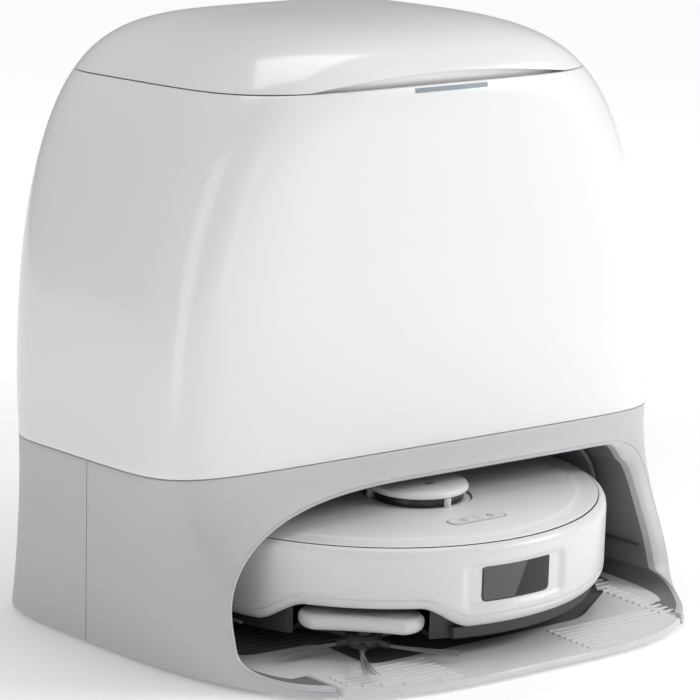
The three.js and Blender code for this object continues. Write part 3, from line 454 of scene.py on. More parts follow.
FINISHES = {"shell": lambda: plastic("gloss white shell", (0.87, 0.875, 0.885), 0.2, 0.006, 260, 0.008,
                                     0.25), "base": lambda: plastic("satin silver grey",
                                                                    (0.585, 0.595, 0.61), 0.42, 0.03, 1400,
                                                                    0.015),
            "liner": lambda: plastic("matt garage liner", (0.19, 0.195, 0.2), 0.6, 0.06, 1200, 0.05),
            "tray": lambda: plastic("satin tray white", (0.74, 0.745, 0.755), 0.42, 0.03, 1200, 0.02),
            # pool: dark grey as painted shade, for the shadow under the parked robot
            "pool": lambda: plastic("pool grey as painted shade", (0.16, 0.165, 0.17), 0.5, 0.05, 1000, 0.06),
            "board": lambda: plastic("wash board silver", (0.5, 0.51, 0.52), 0.4, 0.05, 900, 0.04, 0, 0.1),
            "robot": lambda: plastic("semi gloss robot white", (0.83, 0.835, 0.845), 0.34, 0.01, 1500,
                                     0.012, 0.15), "silver": lambda: plastic("satin silver trim",
                                                                             (0.52, 0.53, 0.54), 0.35, 0.03,
                                                                             900, 0.03, 0, 0.15),
            # dark: real dark plastic, also used as painted shade on the lower trim, the side brush hub and
            # the garage wall groove
            "dark": lambda: plastic("textured dark grey plastic and painted shade", (0.055, 0.058, 0.062), 0.5, 0.1, 1300, 0.1, 0, 0,
                                    0.2), "black": lambda: plastic("satin black", (0.014, 0.014, 0.015),
                                                                   0.35, 0.04, 1000, 0.1),
            "gloss_black": lambda: plastic("turret black", (0.01, 0.01, 0.011), 0.1, 0.004, 600, 0.1, 0.5),
            "window": window_glass, "lens": lambda: plastic("grey blue lens", (0.27, 0.32, 0.37), 0.2, 0.01,
                                                            500, 0.03, 0.2),
            "steel": lambda: plastic("turned steel", (0.6, 0.61, 0.62), 0.34, 0.04, 1600, 0.04, 0, 1),
            "brass": lambda: plastic("plated contact", (0.75, 0.6, 0.32), 0.34, 0.03, 1400, 0.05, 0, 1),
            "rubber": lambda: plastic("matt black rubber", (0.022, 0.022, 0.024), 0.8, 0.2, 1100, 0.2, 0, 0,
                                      0.3), "bristle": lambda: plastic("grey nylon", (0.23, 0.235, 0.24),
                                                                       0.45, 0.05, 900, 0.12),
            "tank_clear": lambda: tank_wall("clear tank wall", (0.42, 0.55, 0.66), 0.45),
            "tank_smoke": lambda: tank_wall("smoked tank wall", (0.12, 0.115, 0.11), 0.6),
            "card": lambda: plastic("pressed card", (0.5, 0.49, 0.46), 0.85, 0.3, 500, 0.08, 0, 0, 0.3),
            "bag": lambda: cloth("filter fleece", (0.78, 0.76, 0.7), 500, 0.0004),
            "mop": lambda: cloth("mop microfibre", (0.2, 0.215, 0.24), 420, 0.0012),
            "mark": lambda: plastic("printed mark grey", (0.25, 0.255, 0.26), 0.4, 0.01, 500, 0.02),}


# --------------------------------------------------------------------------- repeated details

def repeat_tree(name, seed_default):
    """Copies a small piece along the points of a carrier mesh, turned by its stored rotation."""
    tree = bpy.data.node_groups.new(name, "GeometryNodeTree")
    face = tree.interface
    face.new_socket("Geometry", in_out="INPUT", socket_type="NodeSocketGeometry")
    face.new_socket("Pattern", in_out="INPUT", socket_type="NodeSocketObject")
    scale = face.new_socket("Scale", in_out="INPUT", socket_type="NodeSocketFloat")
    scale.default_value = 1.0
    jitter = face.new_socket("Jitter", in_out="INPUT", socket_type="NodeSocketFloat")
    jitter.default_value = 0.0
    seed = face.new_socket("Seed", in_out="INPUT", socket_type="NodeSocketInt")
    seed.default_value = seed_default
    face.new_socket("Finish", in_out="INPUT", socket_type="NodeSocketMaterial")
    face.new_socket("Geometry", in_out="OUTPUT", socket_type="NodeSocketGeometry")
    nodes, links = tree.nodes, tree.links
    start = nodes.new("NodeGroupInput")
    end = nodes.new("NodeGroupOutput")
    info = nodes.new("GeometryNodeObjectInfo")
    info.transform_space = "ORIGINAL"
    spin = nodes.new("GeometryNodeInputNamedAttribute")
    spin.data_type = "FLOAT_VECTOR"
    spin.inputs["Name"].default_value = "spin"
    size = nodes.new("GeometryNodeInputNamedAttribute")
    size.data_type = "FLOAT_VECTOR"
    size.inputs["Name"].default_value = "size"
    place = nodes.new("GeometryNodeInstanceOnPoints")
    wobble = nodes.new("FunctionNodeRandomValue")
    wobble.data_type = "FLOAT"
    lowest = nodes.new("ShaderNodeMath")
    lowest.operation = "SUBTRACT"
    lowest.inputs[0].default_value = 1.0
    scaled = nodes.new("ShaderNodeVectorMath")
    scaled.operation = "SCALE"
    scaled_again = nodes.new("ShaderNodeVectorMath")
    scaled_again.operation = "SCALE"
    real = nodes.new("GeometryNodeRealizeInstances")
    paint = nodes.new("GeometryNodeSetMaterial")
    links.new(start.outputs["Geometry"], place.inputs["Points"])
    links.new(start.outputs["Pattern"], info.inputs["Object"])
    links.new(info.outputs["Geometry"], place.inputs["Instance"])
    links.new(spin.outputs["Attribute"], place.inputs["Rotation"])
    links.new(start.outputs["Jitter"], lowest.inputs[1])
    links.new(lowest.outputs["Value"], wobble.inputs[2])
    wobble.inputs[3].default_value = 1.0
    links.new(start.outputs["Seed"], wobble.inputs["Seed"])
    links.new(size.outputs["Attribute"], scaled.inputs[0])
    links.new(start.outputs["Scale"], scaled.inputs["Scale"])
    links.new(scaled.outputs["Vector"], scaled_again.inputs[0])
    links.new(wobble.outputs[1], scaled_again.inputs["Scale"])
    links.new(scaled_again.outputs["Vector"], place.inputs["Scale"])
    links.new(place.outputs["Instances"], real.inputs["Geometry"])
    links.new(real.outputs["Geometry"], paint.inputs["Geometry"])
    links.new(start.outputs["Finish"], paint.inputs["Material"])
    links.new(paint.outputs["Geometry"], end.inputs["Geometry"])
    return tree


def repeated(name, pattern, places, spins, sizes, material, jitter=0.0, seed=1):
    """One mesh of many copies of a pattern at the given places (millimetres) and turns (radians)."""
    carrier = mesh_object(name, places, [])
    spin = carrier.data.attributes.new("spin", "FLOAT_VECTOR", "POINT")
    spin.data.foreach_set("vector", np.array(spins, np.float32).ravel())
    size = carrier.data.attributes.new("size", "FLOAT_VECTOR", "POINT")
    size.data.foreach_set("vector", np.array(sizes, np.float32).ravel())
    tree = repeat_tree(name + " copies", seed)
    modifier = carrier.modifiers.new("copies", "NODES")
    modifier.node_group = tree
    ids = {item.name: item.identifier for item in tree.interface.items_tree if item.in_out == "INPUT"}
    modifier[ids["Pattern"]] = pattern
    modifier[ids["Scale"]] = 1.0
    modifier[ids["Jitter"]] = jitter
    modifier[ids["Seed"]] = seed
    modifier[ids["Finish"]] = FINISHES[material]()
    bpy.context.view_layer.update()
    settle(carrier)
    bpy.data.objects.remove(pattern)
    return carrier


# ------------------------------------------------------------------------------------- sizes

class DockSizes(bpy.types.PropertyGroup):
    wall: bpy.props.FloatProperty(
        name="Shell wall", description="Thickness of the dock's shells", default=WALL * MM, unit="LENGTH")
    edge: bpy.props.FloatProperty(
        name="Edge rounding", description="Rounding of the edges at the joints", default=0.0007,
            unit="LENGTH")
    rib_pitch: bpy.props.FloatProperty(
        name="Rib spacing", description="Distance between the ribs of the tray pads", default=0.0064,
            unit="LENGTH")
    comb_pitch: bpy.props.FloatProperty(
        name="Comb spacing", description="Distance between the teeth beside the tray", default=0.0072,
            unit="LENGTH")


class RobotSizes(bpy.types.PropertyGroup):
    radius: bpy.props.FloatProperty(
        name="Radius", description="Radius of the robot's bumper", default=ROBOT_RADIUS * MM, unit="LENGTH")
    recess: bpy.props.FloatProperty(
        name="Recess depth", description="Depth of the dish around the sensor window", default=0.0032,
            unit="LENGTH")
    bristle_length: bpy.props.FloatProperty(
        name="Bristle length", description="Reach of the side brush", default=0.07, unit="LENGTH")
    tread_count: bpy.props.IntProperty(
        name="Tread blocks", description="Rubber blocks around a drive wheel", default=30)


# ----------------------------------------------------------------------------- dock operators

def shell_rings(low, high, edge, step=7.0):
    """Outer rings then inner rings of a hollow body between two heights."""
    levels = list(np.linspace(low + edge, high - edge, max(int((high - low) / step), 2)))
    outer = [outline_ring(low, edge)]
    outer += [outline_ring(low + edge * 0.35, edge * 0.3)]
    outer += [outline_ring(z) for z in levels]
    outer += [outline_ring(high - edge * 0.35, edge * 0.3), outline_ring(high, edge)]
    inner = [outline_ring(z, WALL) for z in [high] + levels[::-3] + [low]]
    return outer + inner


class DOCK_OT_body(bpy.types.Operator):
    """Builds the white domed body with its light bar"""
    bl_idname = "dock.body"
    bl_label = "Domed body"

    def execute(self, context):
        edge = context.scene.dock_sizes.edge / MM
        dome = skin("dock_dome", shell_rings(SEAM + SEAM_GAP, RIM, edge))
        hinge = rod("notch", (-54, HINGE_Y, HINGE_Z), (54, HINGE_Y, HINGE_Z), HINGE_BARREL + 0.4)
        finished(cut(dome, hinge), "dock", "shell", ["upper_shell"])
        columns, rows = 24, 4
        points = []
        for depth in (-0.5, 1.2):
            for row in range(rows):
                for column in range(columns):
                    x = BAR_SHIFT - BAR_HALF + 2 * BAR_HALF * column / (columns - 1)
                    z = RIM - 4.6 + 3.4 * row / (rows - 1)
                    points.append((x, front_y(x, z) + depth, z))
        bar = mesh_object("status_light_bar", points, slab_faces(columns, rows))
        finished(outward(bar), "dock", "lens", ["status_bar"])
        return {"FINISHED"}


def slab_faces(columns, rows):
    """Faces of a slab given as a front grid followed by a back grid."""
    layer = columns * rows
    faces = []
    for row in range(rows - 1):
        for column in range(columns - 1):
            a = row * columns + column
            quad = (a, a + 1, a + columns + 1, a + columns)
            faces.append(quad)
            faces.append(tuple(layer + v for v in reversed(quad)))
    rim = [(c, c + 1) for c in range(columns - 1)]
    rim += [(r * columns + columns - 1, (r + 1) * columns + columns - 1) for r in range(rows - 1)]
    rim += [(c + 1 + (rows - 1) * columns, c + (rows - 1) * columns) for c in range(columns - 1)]
    rim += [((r + 1) * columns, r * columns) for r in range(rows - 1)]
    return faces + [(b, a, a + layer, b + layer) for a, b in rim]


class DOCK_OT_lid(bpy.types.Operator):
    """Builds the lift-up lid with its finger recess and hinge knuckles"""
    bl_idname = "dock.lid"
    bl_label = "Lid"

    def execute(self, context):
        edge = context.scene.dock_sizes.edge / MM
        start = (LID_LOW + edge - SEAM) / (DOCK_HEIGHT - SEAM)
        share = 1 - (1 - start) * (1 - np.linspace(0, 1, 42)) ** 3
        heights = [SEAM + (DOCK_HEIGHT - SEAM) * min(u, 0.99996) for u in share]
        outer = [outline_ring(LID_LOW, edge), outline_ring(LID_LOW + edge * 0.35, edge * 0.3)]
        outer += [outline_ring(z) for z in heights]
        inner = [outline_ring(z, WALL) for z in (449.0, 446.0, 441.0, 434.0, 425.0, LID_LOW)]
        lid = skin("dock_lid", inner + outer, False)
        half, rise = 118.0, 8.0
        radius = (half ** 2 + rise ** 2) / (2 * rise)
        sweep = math.asin(half / radius)
        arc = [(radius * math.sin(t),
                LID_LOW + rise - radius + radius * math.cos(t)) for t in np.linspace(-sweep, sweep, 40)]
        scoop = prism("scoop", arc + [(half, LID_LOW - 6), (-half, LID_LOW - 6)], -150, -84, "y")
        hinge = rod("notch", (-46, HINGE_Y, HINGE_Z), (46, HINGE_Y, HINGE_Z), HINGE_BARREL + 0.4)
        finished(cut(lid, scoop, hinge), "lid", "shell", ["top_lid"])
        columns, rows = 60, 8
        points = []
        for depth in (0.0, 1.4):
            for row in range(rows):
                for column in range(columns):
                    x = -124 + 248 * column / (columns - 1)
                    t = row / (rows - 1)
                    z = LID_LOW - 3 + 15.2 * t
                    points.append((x, front_y(x, z) + 4.6 + 5 * (1 - t) ** 2 + depth, z))
        back = mesh_object("lid_finger_recess", points, slab_faces(columns, rows))
        finished(outward(back), "lid", "shell")
        parts = []
        for side in (-1, 1):
            x0 = 14 if side > 0 else -34
            barrel = rod("barrel", (x0, HINGE_Y, HINGE_Z), (x0 + 20, HINGE_Y, HINGE_Z), HINGE_BARREL)
            bore = rod("bore", (x0 - 1, HINGE_Y, HINGE_Z), (x0 + 21, HINGE_Y, HINGE_Z), 3.4, 24)
            arm = block("arm", (x0 + 0.5, HINGE_Y - 14, HINGE_Z - 0.8),
                        (x0 + 19.5, HINGE_Y - 5, HINGE_Z + 4.8), False, 0.4)
            parts += [cut(barrel, bore), arm]
        finished(merged("lid_knuckles", *parts), "lid", "shell")
        return {"FINISHED"}


# Garage mouth: a large round left shoulder, a tight right corner, and a small round foot on each side.
MOUTH_HALF = 204.0
MOUTH_TOP = 126.5
MOUTH_SILL = 6.6
FOOT_TOP = 37.0
FOOT_REACH = 43.0
FOOT_POWER = 3.3
SHOULDER_REACH = 184.0
SHOULDER_POWER = 2.6
CORNER_REACH = 63.0
CORNER_LOW = 80.0
CORNER_POWER = 3.3


def mouth_line(count=220):
    """The garage mouth from its left foot over the top to its right foot, as X and Z, evenly spaced."""
    foot = quarter(FOOT_REACH, FOOT_TOP - MOUTH_SILL, FOOT_POWER, 40)
    shoulder = quarter(SHOULDER_REACH, MOUTH_TOP - FOOT_TOP, SHOULDER_POWER, 80)
    corner = quarter(CORNER_REACH, MOUTH_TOP - CORNER_LOW, CORNER_POWER, 60)
    left_foot = foot[::-1] * (-1, -1) + (FOOT_REACH - MOUTH_HALF, FOOT_TOP)
    left_shoulder = shoulder * (-1, 1) + (SHOULDER_REACH - MOUTH_HALF, FOOT_TOP)
    right_corner = corner[::-1] + (MOUTH_HALF - CORNER_REACH, CORNER_LOW)
    right_foot = foot * (1, -1) + (MOUTH_HALF - FOOT_REACH, FOOT_TOP)
    line = np.vstack([left_foot, left_shoulder[1:], right_corner, right_foot])
    along = np.r_[0, np.cumsum(np.linalg.norm(np.diff(line, axis=0), axis=1))]
    at = np.linspace(0, along[-1], count)
    return np.c_[np.interp(at, along, line[:, 0]), np.interp(at, along, line[:, 1])]


def shrunk(line, by):
    """The mouth line moved inwards."""
    ahead = np.gradient(line, axis=0)
    normal = np.c_[ahead[:, 1], -ahead[:, 0]]
    moved = line + normal / np.linalg.norm(normal, axis=1)[:, None] * by
    moved[:, 1] = np.maximum(moved[:, 1], 6.6)
    return moved


def lip_inset(line, inset):
    """The mouth line moved inwards, four times as far on its upright right side."""
    share = np.clip((line[:, 0] - 165) / 25, 0, 1)
    low = (line[:, 0] > 0) & (line[:, 1] < 60)
    share[low] = np.clip((line[low, 1] - 6) / 16, 0, 1)
    side = 1 + 2.9 * share * share * (3 - 2 * share)
    return shrunk(line, (inset * np.where(inset > 0.5, side, 1.0))[:, None])


class DOCK_OT_base(bpy.types.Operator):
    """Builds the silver grey base in two halves with the garage mouth and its rolled lip"""
    bl_idname = "dock.base"
    bl_label = "Base"

    def execute(self, context):
        edge = context.scene.dock_sizes.edge / MM
        lean = math.atan2(SPLIT_FLOOR_Y - SPLIT_SEAM_Y, SEAM)
        line = mouth_line()
        mouth_outline = np.vstack([line, [(150, 6.5), (-150, 6.5)]])
        for name, body_sign in (("base_front", 1), ("base_rear", -1)):
            base = skin(name, shell_rings(FOOT, SEAM - SEAM_GAP, edge, 5.0))
            half_space = block("half", (-400, 0, -400), (400, 800, 400)) if body_sign > 0 else \
                block("half", (-400, -800, -400), (400, 0, 400))
            turn = Matrix.Translation((0, (SPLIT_FLOOR_Y + (-0.5 if body_sign > 0 else 0.5)) * MM, 0)) @ \
                Matrix.Rotation(lean, 4, "X")
            half_space.data.transform(turn)
            if body_sign > 0:
                mouth = prism("mouth", mouth_outline, -400, -20, "y")
                notch = block("notch", (-160, -400, -10), (160, -150, 14))
                cut(base, half_space, mouth, notch)
                finished(base, "dock", "base", ["base_front_skirt"], 28)
            else:
                inlet = block("inlet", (118, 150, 24), (142, 300, 42))
                vent = block("vent", (-70, 150, 60), (70, 300, 112))
                cut(base, half_space, inlet, vent)
                finished(base, "dock", "base", ["base_rear_shell"], 28)
        rings = []
        for depth, inset in ((1.6, -0.4), (0.2, 0.2), (-0.4, 1.0), (-0.3, 1.8), (0.2, 2.8), (1.4, 3.4),
                             (9.0, 3.8),
                             (9.0, 2.6), (4.0, 0.6)):
            moved = lip_inset(line, inset)
            rings.append(np.array([(x, front_y(x0, z0) + depth, z) for (x, z), (x0, z0) in zip(moved, line)]))
        finished(strip("mouth_lip", rings), "dock", "base")
        return {"FINISHED"}


class DOCK_OT_garage(bpy.types.Operator):
    """Builds the dark garage that the robot parks in"""
    bl_idname = "dock.garage"
    bl_label = "Garage"

    def execute(self, context):
        line = mouth_line()
        # Depth into the dock (None follows the front), how far in from the mouth, widest half width.
        layers = [(None, 3.9, 400.0), (-60.0, 4.0, 400.0), (-20.0, 4.2, 400.0), (20.0, 4.6, 190.0),
                  (45.0, 5.2, 183.4)]
        rings = []
        for y, inset, half in layers + [(y, inset - 0.7, half + 2) for y, inset, half in layers[::-1]]:
            ring = []
            for (x, z), (x0, z0) in zip(lip_inset(line, inset), line):
                depth = front_y(x0, z0) + LINER_SET_BACK if y is None else y
                ring.append((min(max(x, -half), half), depth, max(z, 4.0)))
            rings.append(np.array(ring))
        hood = strip("garage_liner", rings)
        finished(hood, "dock", "liner")
        # Thin dark strips along each garage wall, as painted shade in a groove.
        painted_groove_shade = [block("g", (side * 186.0 - 1.6, -108, 43.4), (side * 186.0 + 1.6, 45, 44.6), False,
                        0.3) for side in (-1, 1)]
        finished(merged("garage_wall_ridge", *painted_groove_shade), "dock", "dark")
        return {"FINISHED"}


def tray_z(y, drop=1.0):
    return ROBOT_Z + (y - ROBOT_Y) * math.tan(PITCH) - drop / math.cos(PITCH)


class DOCK_OT_tray(bpy.types.Operator):
    """Builds the sloping tray with its lip, ribbed pads, pool and side comb; the pool is dark grey as painted
    shade under the parked robot
    """
    bl_idname = "dock.tray"
    bl_label = "Tray"

    def execute(self, context):
        sizes = context.scene.dock_sizes
        ring = outline_ring(6.0, 0.0, 512)
        lip = [p for p in ring if p[1] < -150.5 and abs(p[0]) < 159]
        lip = sorted(lip, key=lambda p: p[0])
        side = [(159, -150.5), (186, -150.5), (186, -60), (181, -58), (181, 174)]
        mirrored = [(-x, y) for x, y in side[::-1]]
        outline = [mirrored[-1]] + [(p[0], p[1]) for p in lip] + side + mirrored[:-1]
        outline = np.array(outline)
        middle = outline.mean(0)
        levels = []
        for kind in ("low", "wall", "edge", "top"):
            ring_points = []
            for x, y in outline:
                toward = middle - (x, y)
                toward = toward / np.hypot(*toward)
                top = tray_z(y)
                if kind == "low":
                    ring_points.append((x + toward[0], y + toward[1], 3.0))
                elif kind == "wall":
                    ring_points.append((x, y, 3.6))
                elif kind == "edge":
                    ring_points.append((x, y, top - 1.5))
                else:
                    ring_points.append((x + toward[0] * 1.6, y + toward[1] * 1.6, top))
            levels.append(np.array(ring_points))
        tray = skin("wash_tray_body", levels, False)
        well = prism("well", rounded([(-176, -92), (-109, -96), (-109, -156), (92, -152), (176, -92),
                                      (176, 22), (-176, 22)], 14), 12, 60, "z")
        board = prism("board", rounded_box(-152, 30, 152, 168, 24), 12, 60, "z")
        for cutter, drop in ((well, 4.2), (board, 9.0)):
            for vertex in cutter.data.vertices:
                if vertex.co.z < 0.03:
                    vertex.co.z = tray_z(vertex.co.y / MM, drop) * MM
        finished(cut(tray, well, board), "dock", "tray", ["wash_tray"], 25)
        # pool floor, coloured dark grey as painted shade under the parked robot
        pool = prism("tray_pool_floor", rounded([(-175, -91), (-108, -95), (-108, -155), (91, -151),
                                                 (175, -91), (175, 21), (-175, 21)], 14), 12, 30, "z")
        for vertex in pool.data.vertices:
            drop = 4.1 if vertex.co.z < 0.02 else 3.7
            vertex.co.z = tray_z(vertex.co.y / MM, drop) * MM
        finished(pool, "dock", "pool")
        # straight ribs across the two front pads
        pitch = sizes.rib_pitch / MM
        places, spins, scales = [], [], []
        for y in np.arange(-222.0, -162.0, pitch):
            half, front, _, power, _ = outline_at(7.0)
            edge = (half - 3) * (1 - min(((BODY_CENTRE - y) / (front - 3)) ** power, 1)) ** (1 / power)
            edge = min(edge - 9.0, 150.0)
            for x0, x1 in ((-edge, -67.0), (50.0, edge)):
                if x1 - x0 > 8:
                    places.append(((x0 + x1) / 2, y, tray_z(y, 0.6)))
                    spins.append((PITCH, 0, 0))
                    scales.append((x1 - x0, 1, 1))
        rib = ribbed_bar("rib", 1.0, 3.2, 1.5)
        pads = repeated("tray_pad_ribs", rib, places, spins, scales, "tray")
        finished(pads, "dock", "tray", (), 40)
        # ribs in the pool, dark grey as painted shade under the robot
        places, spins, scales = [], [], []
        for y in np.arange(-88.0, 20.0, 7.0):
            places.append((0, y, tray_z(y, 3.2)))
            spins.append((PITCH, 0, 0))
            scales.append((340.0 if y > -80 else 330, 1, 1))
        dark = repeated("tray_pool_ribs", ribbed_bar("rib", 1.0, 3.2, 1.4), places, spins, scales, "pool")
        finished(dark, "dock", "pool", (), 40)
        places, spins, scales = [], [], []
        for y in np.arange(-174.0, -60.0, sizes.comb_pitch / MM):
            places.append((157 if y < -100 else 162, y, tray_z(y, 0.4)))
            spins.append((PITCH, 0, 0))
            scales.append((14.0, 1.6, 1.2))
        comb = repeated("tray_side_comb", ribbed_bar("rib", 1.0, 2.0, 1.2), places, spins, scales, "tray")
        finished(comb, "dock", "tray", (), 40)
        return {"FINISHED"}


def ribbed_bar(name, length, width, height):
    """A low bar with a rounded top, lying along X, centred on the origin."""
    profile = [(-width / 2, -height), (-width / 2, 0), (-width / 4, height * 0.4), (0, height * 0.55),
               (width / 4, height * 0.4), (width / 2, 0), (width / 2, -height)]
    rings = [np.array([(x, y, z) for y, z in profile]) for x in (-length / 2, length / 2)]
    return skin(name, rings, False)


# ---------------------------------------------------------------------------- robot operators

def recess_depth(x, z, depth):
    """How far the bumper dips in around the window, as a soft dish."""
    dx = abs(x) - 40.0
    dz = abs(z - 53.0) - 10.0
    outside = math.hypot(max(dx, 0), max(dz, 0)) + min(max(dx, dz), 0)
    t = min(max((9.0 - outside) / 7.0, 0), 1)
    return depth * t * t * (3 - 2 * t)


def notch_lift(angle):
    """How far the bumper's lower edge rises over the side brush arm."""
    middle, half, soft = math.radians(-129.8), math.radians(20.5), math.radians(6.5)
    t = min(max((half + soft - abs(angle - middle)) / (2 * soft), 0), 1)
    return 15.5 * t * t * (3 - 2 * t)


class ROBOT_OT_bumper(bpy.types.Operator):
    """Builds the front bumper with the window dish and the raised edge over the side brush"""
    bl_idname = "robot.bumper"
    bl_label = "Bumper"

    def execute(self, context):
        depth = context.scene.robot_sizes.recess / MM
        radius = context.scene.robot_sizes.radius / MM
        angles = np.linspace(-math.pi, 0, 481)
        outer = [(radius - 9.6, 0.0), (radius - 7.2, -0.0), (radius - 4.4, 1.3), (radius - 2.2, 3.6),
                 (radius - 0.9, 6.0), (radius - 0.3, 7.6), (radius - 0.5, 8.0), (radius - 1.3, 8.5),
                 (radius - 1.3, 9.2), (radius - 0.3, 10.0), (radius, 11.0)]
        top = [(radius, SHELL_TOP - 8), (radius - 0.5, SHELL_TOP - 4.5), (radius - 1.8, SHELL_TOP - 2),
               (radius - 3.6, SHELL_TOP - 0.6), (radius - 5.4, SHELL_TOP)]
        inner = [(radius - 6.2, SHELL_TOP - 0.6), (radius - 4.2, SHELL_TOP - 5), (radius - 4.2, 40.0),
                 (radius - 4.2, 11.0)]
        rows = []
        for angle in angles:
            lift = notch_lift(angle)
            column = [(r, SHELL_LOW + z + lift) for r, z in outer]
            foot = SHELL_LOW + 11 + lift
            column += [(radius, z) for z in np.linspace(foot, SHELL_TOP - 8, 30)[1:-1]]
            column += top + inner[:2]
            column += [(radius - 4.2 - depth, z) for z in np.linspace(SHELL_TOP - 8, foot, 8)[1:-1]]
            column += [(radius - 4.2, foot)]
            points = []
            for r, z in column:
                x = r * math.cos(angle)
                if r >= radius - 0.01:
                    r -= recess_depth(x, z, depth) if math.sin(angle) < -0.9 else 0
                points.append((r * math.cos(angle), r * math.sin(angle), z))
            rows.append(points)
        size = len(rows[0])
        points = np.array(rows).reshape(-1, 3)
        faces = []
        for a in range(len(angles) - 1):
            for i in range(size):
                j = (i + 1) % size
                faces.append((a * size + i, a * size + j, (a + 1) * size + j, (a + 1) * size + i))
        faces.append(tuple(range(size)))
        faces.append(tuple(range((len(angles) - 1) * size + size - 1, (len(angles) - 1) * size - 1, -1)))
        obj = outward(mesh_object("robot_bumper", seat(points), faces))
        finished(obj, "bumper", "robot", ["bumper"], 40)
        pane_outline = rounded_box(-30, 41.5, 30, 68.5, 3.6)
        pane = prism("pane", pane_outline, -190, -150, "y", True)
        plate = turned("sensor_pane", [(radius - depth - 2.2, 30), (radius - depth + 0.5, 30),
                                       (radius - depth + 0.5, 80), (radius - depth - 2.2, 80)], steps=320)
        finished(shape(plate, "INTERSECT", pane), "bumper", "window", ["sensor_window"])
        frame_outline = rounded_box(-31.2, 40.3, 31.2, 69.7, 4.6)
        edge_pane = prism("pane", frame_outline, -190, -150, "y", True)
        rim = turned("sensor_pane_rim", [(radius - depth - 2.0, 30), (radius - depth + 0.2, 30),
                                         (radius - depth + 0.2, 80), (radius - depth - 2.0, 80)], steps=320)
        finished(shape(rim, "INTERSECT", edge_pane), "bumper", "gloss_black")
        # The lower trim takes the dark finish as painted shade: it sits in the shadow under the bumper, and
        # the trim itself is silver.
        trim = turned("lower_trim", [(163.6, 13), (166, 13), (167, 14.5), (167, 21.6), (163.6, 21.6)])
        keep = block("keep", (-48, -300, -10), (300, 0, 60), True)
        finished(shape(trim, "INTERSECT", keep), "bumper", "dark", ["bumper_trim"])
        return {"FINISHED"}


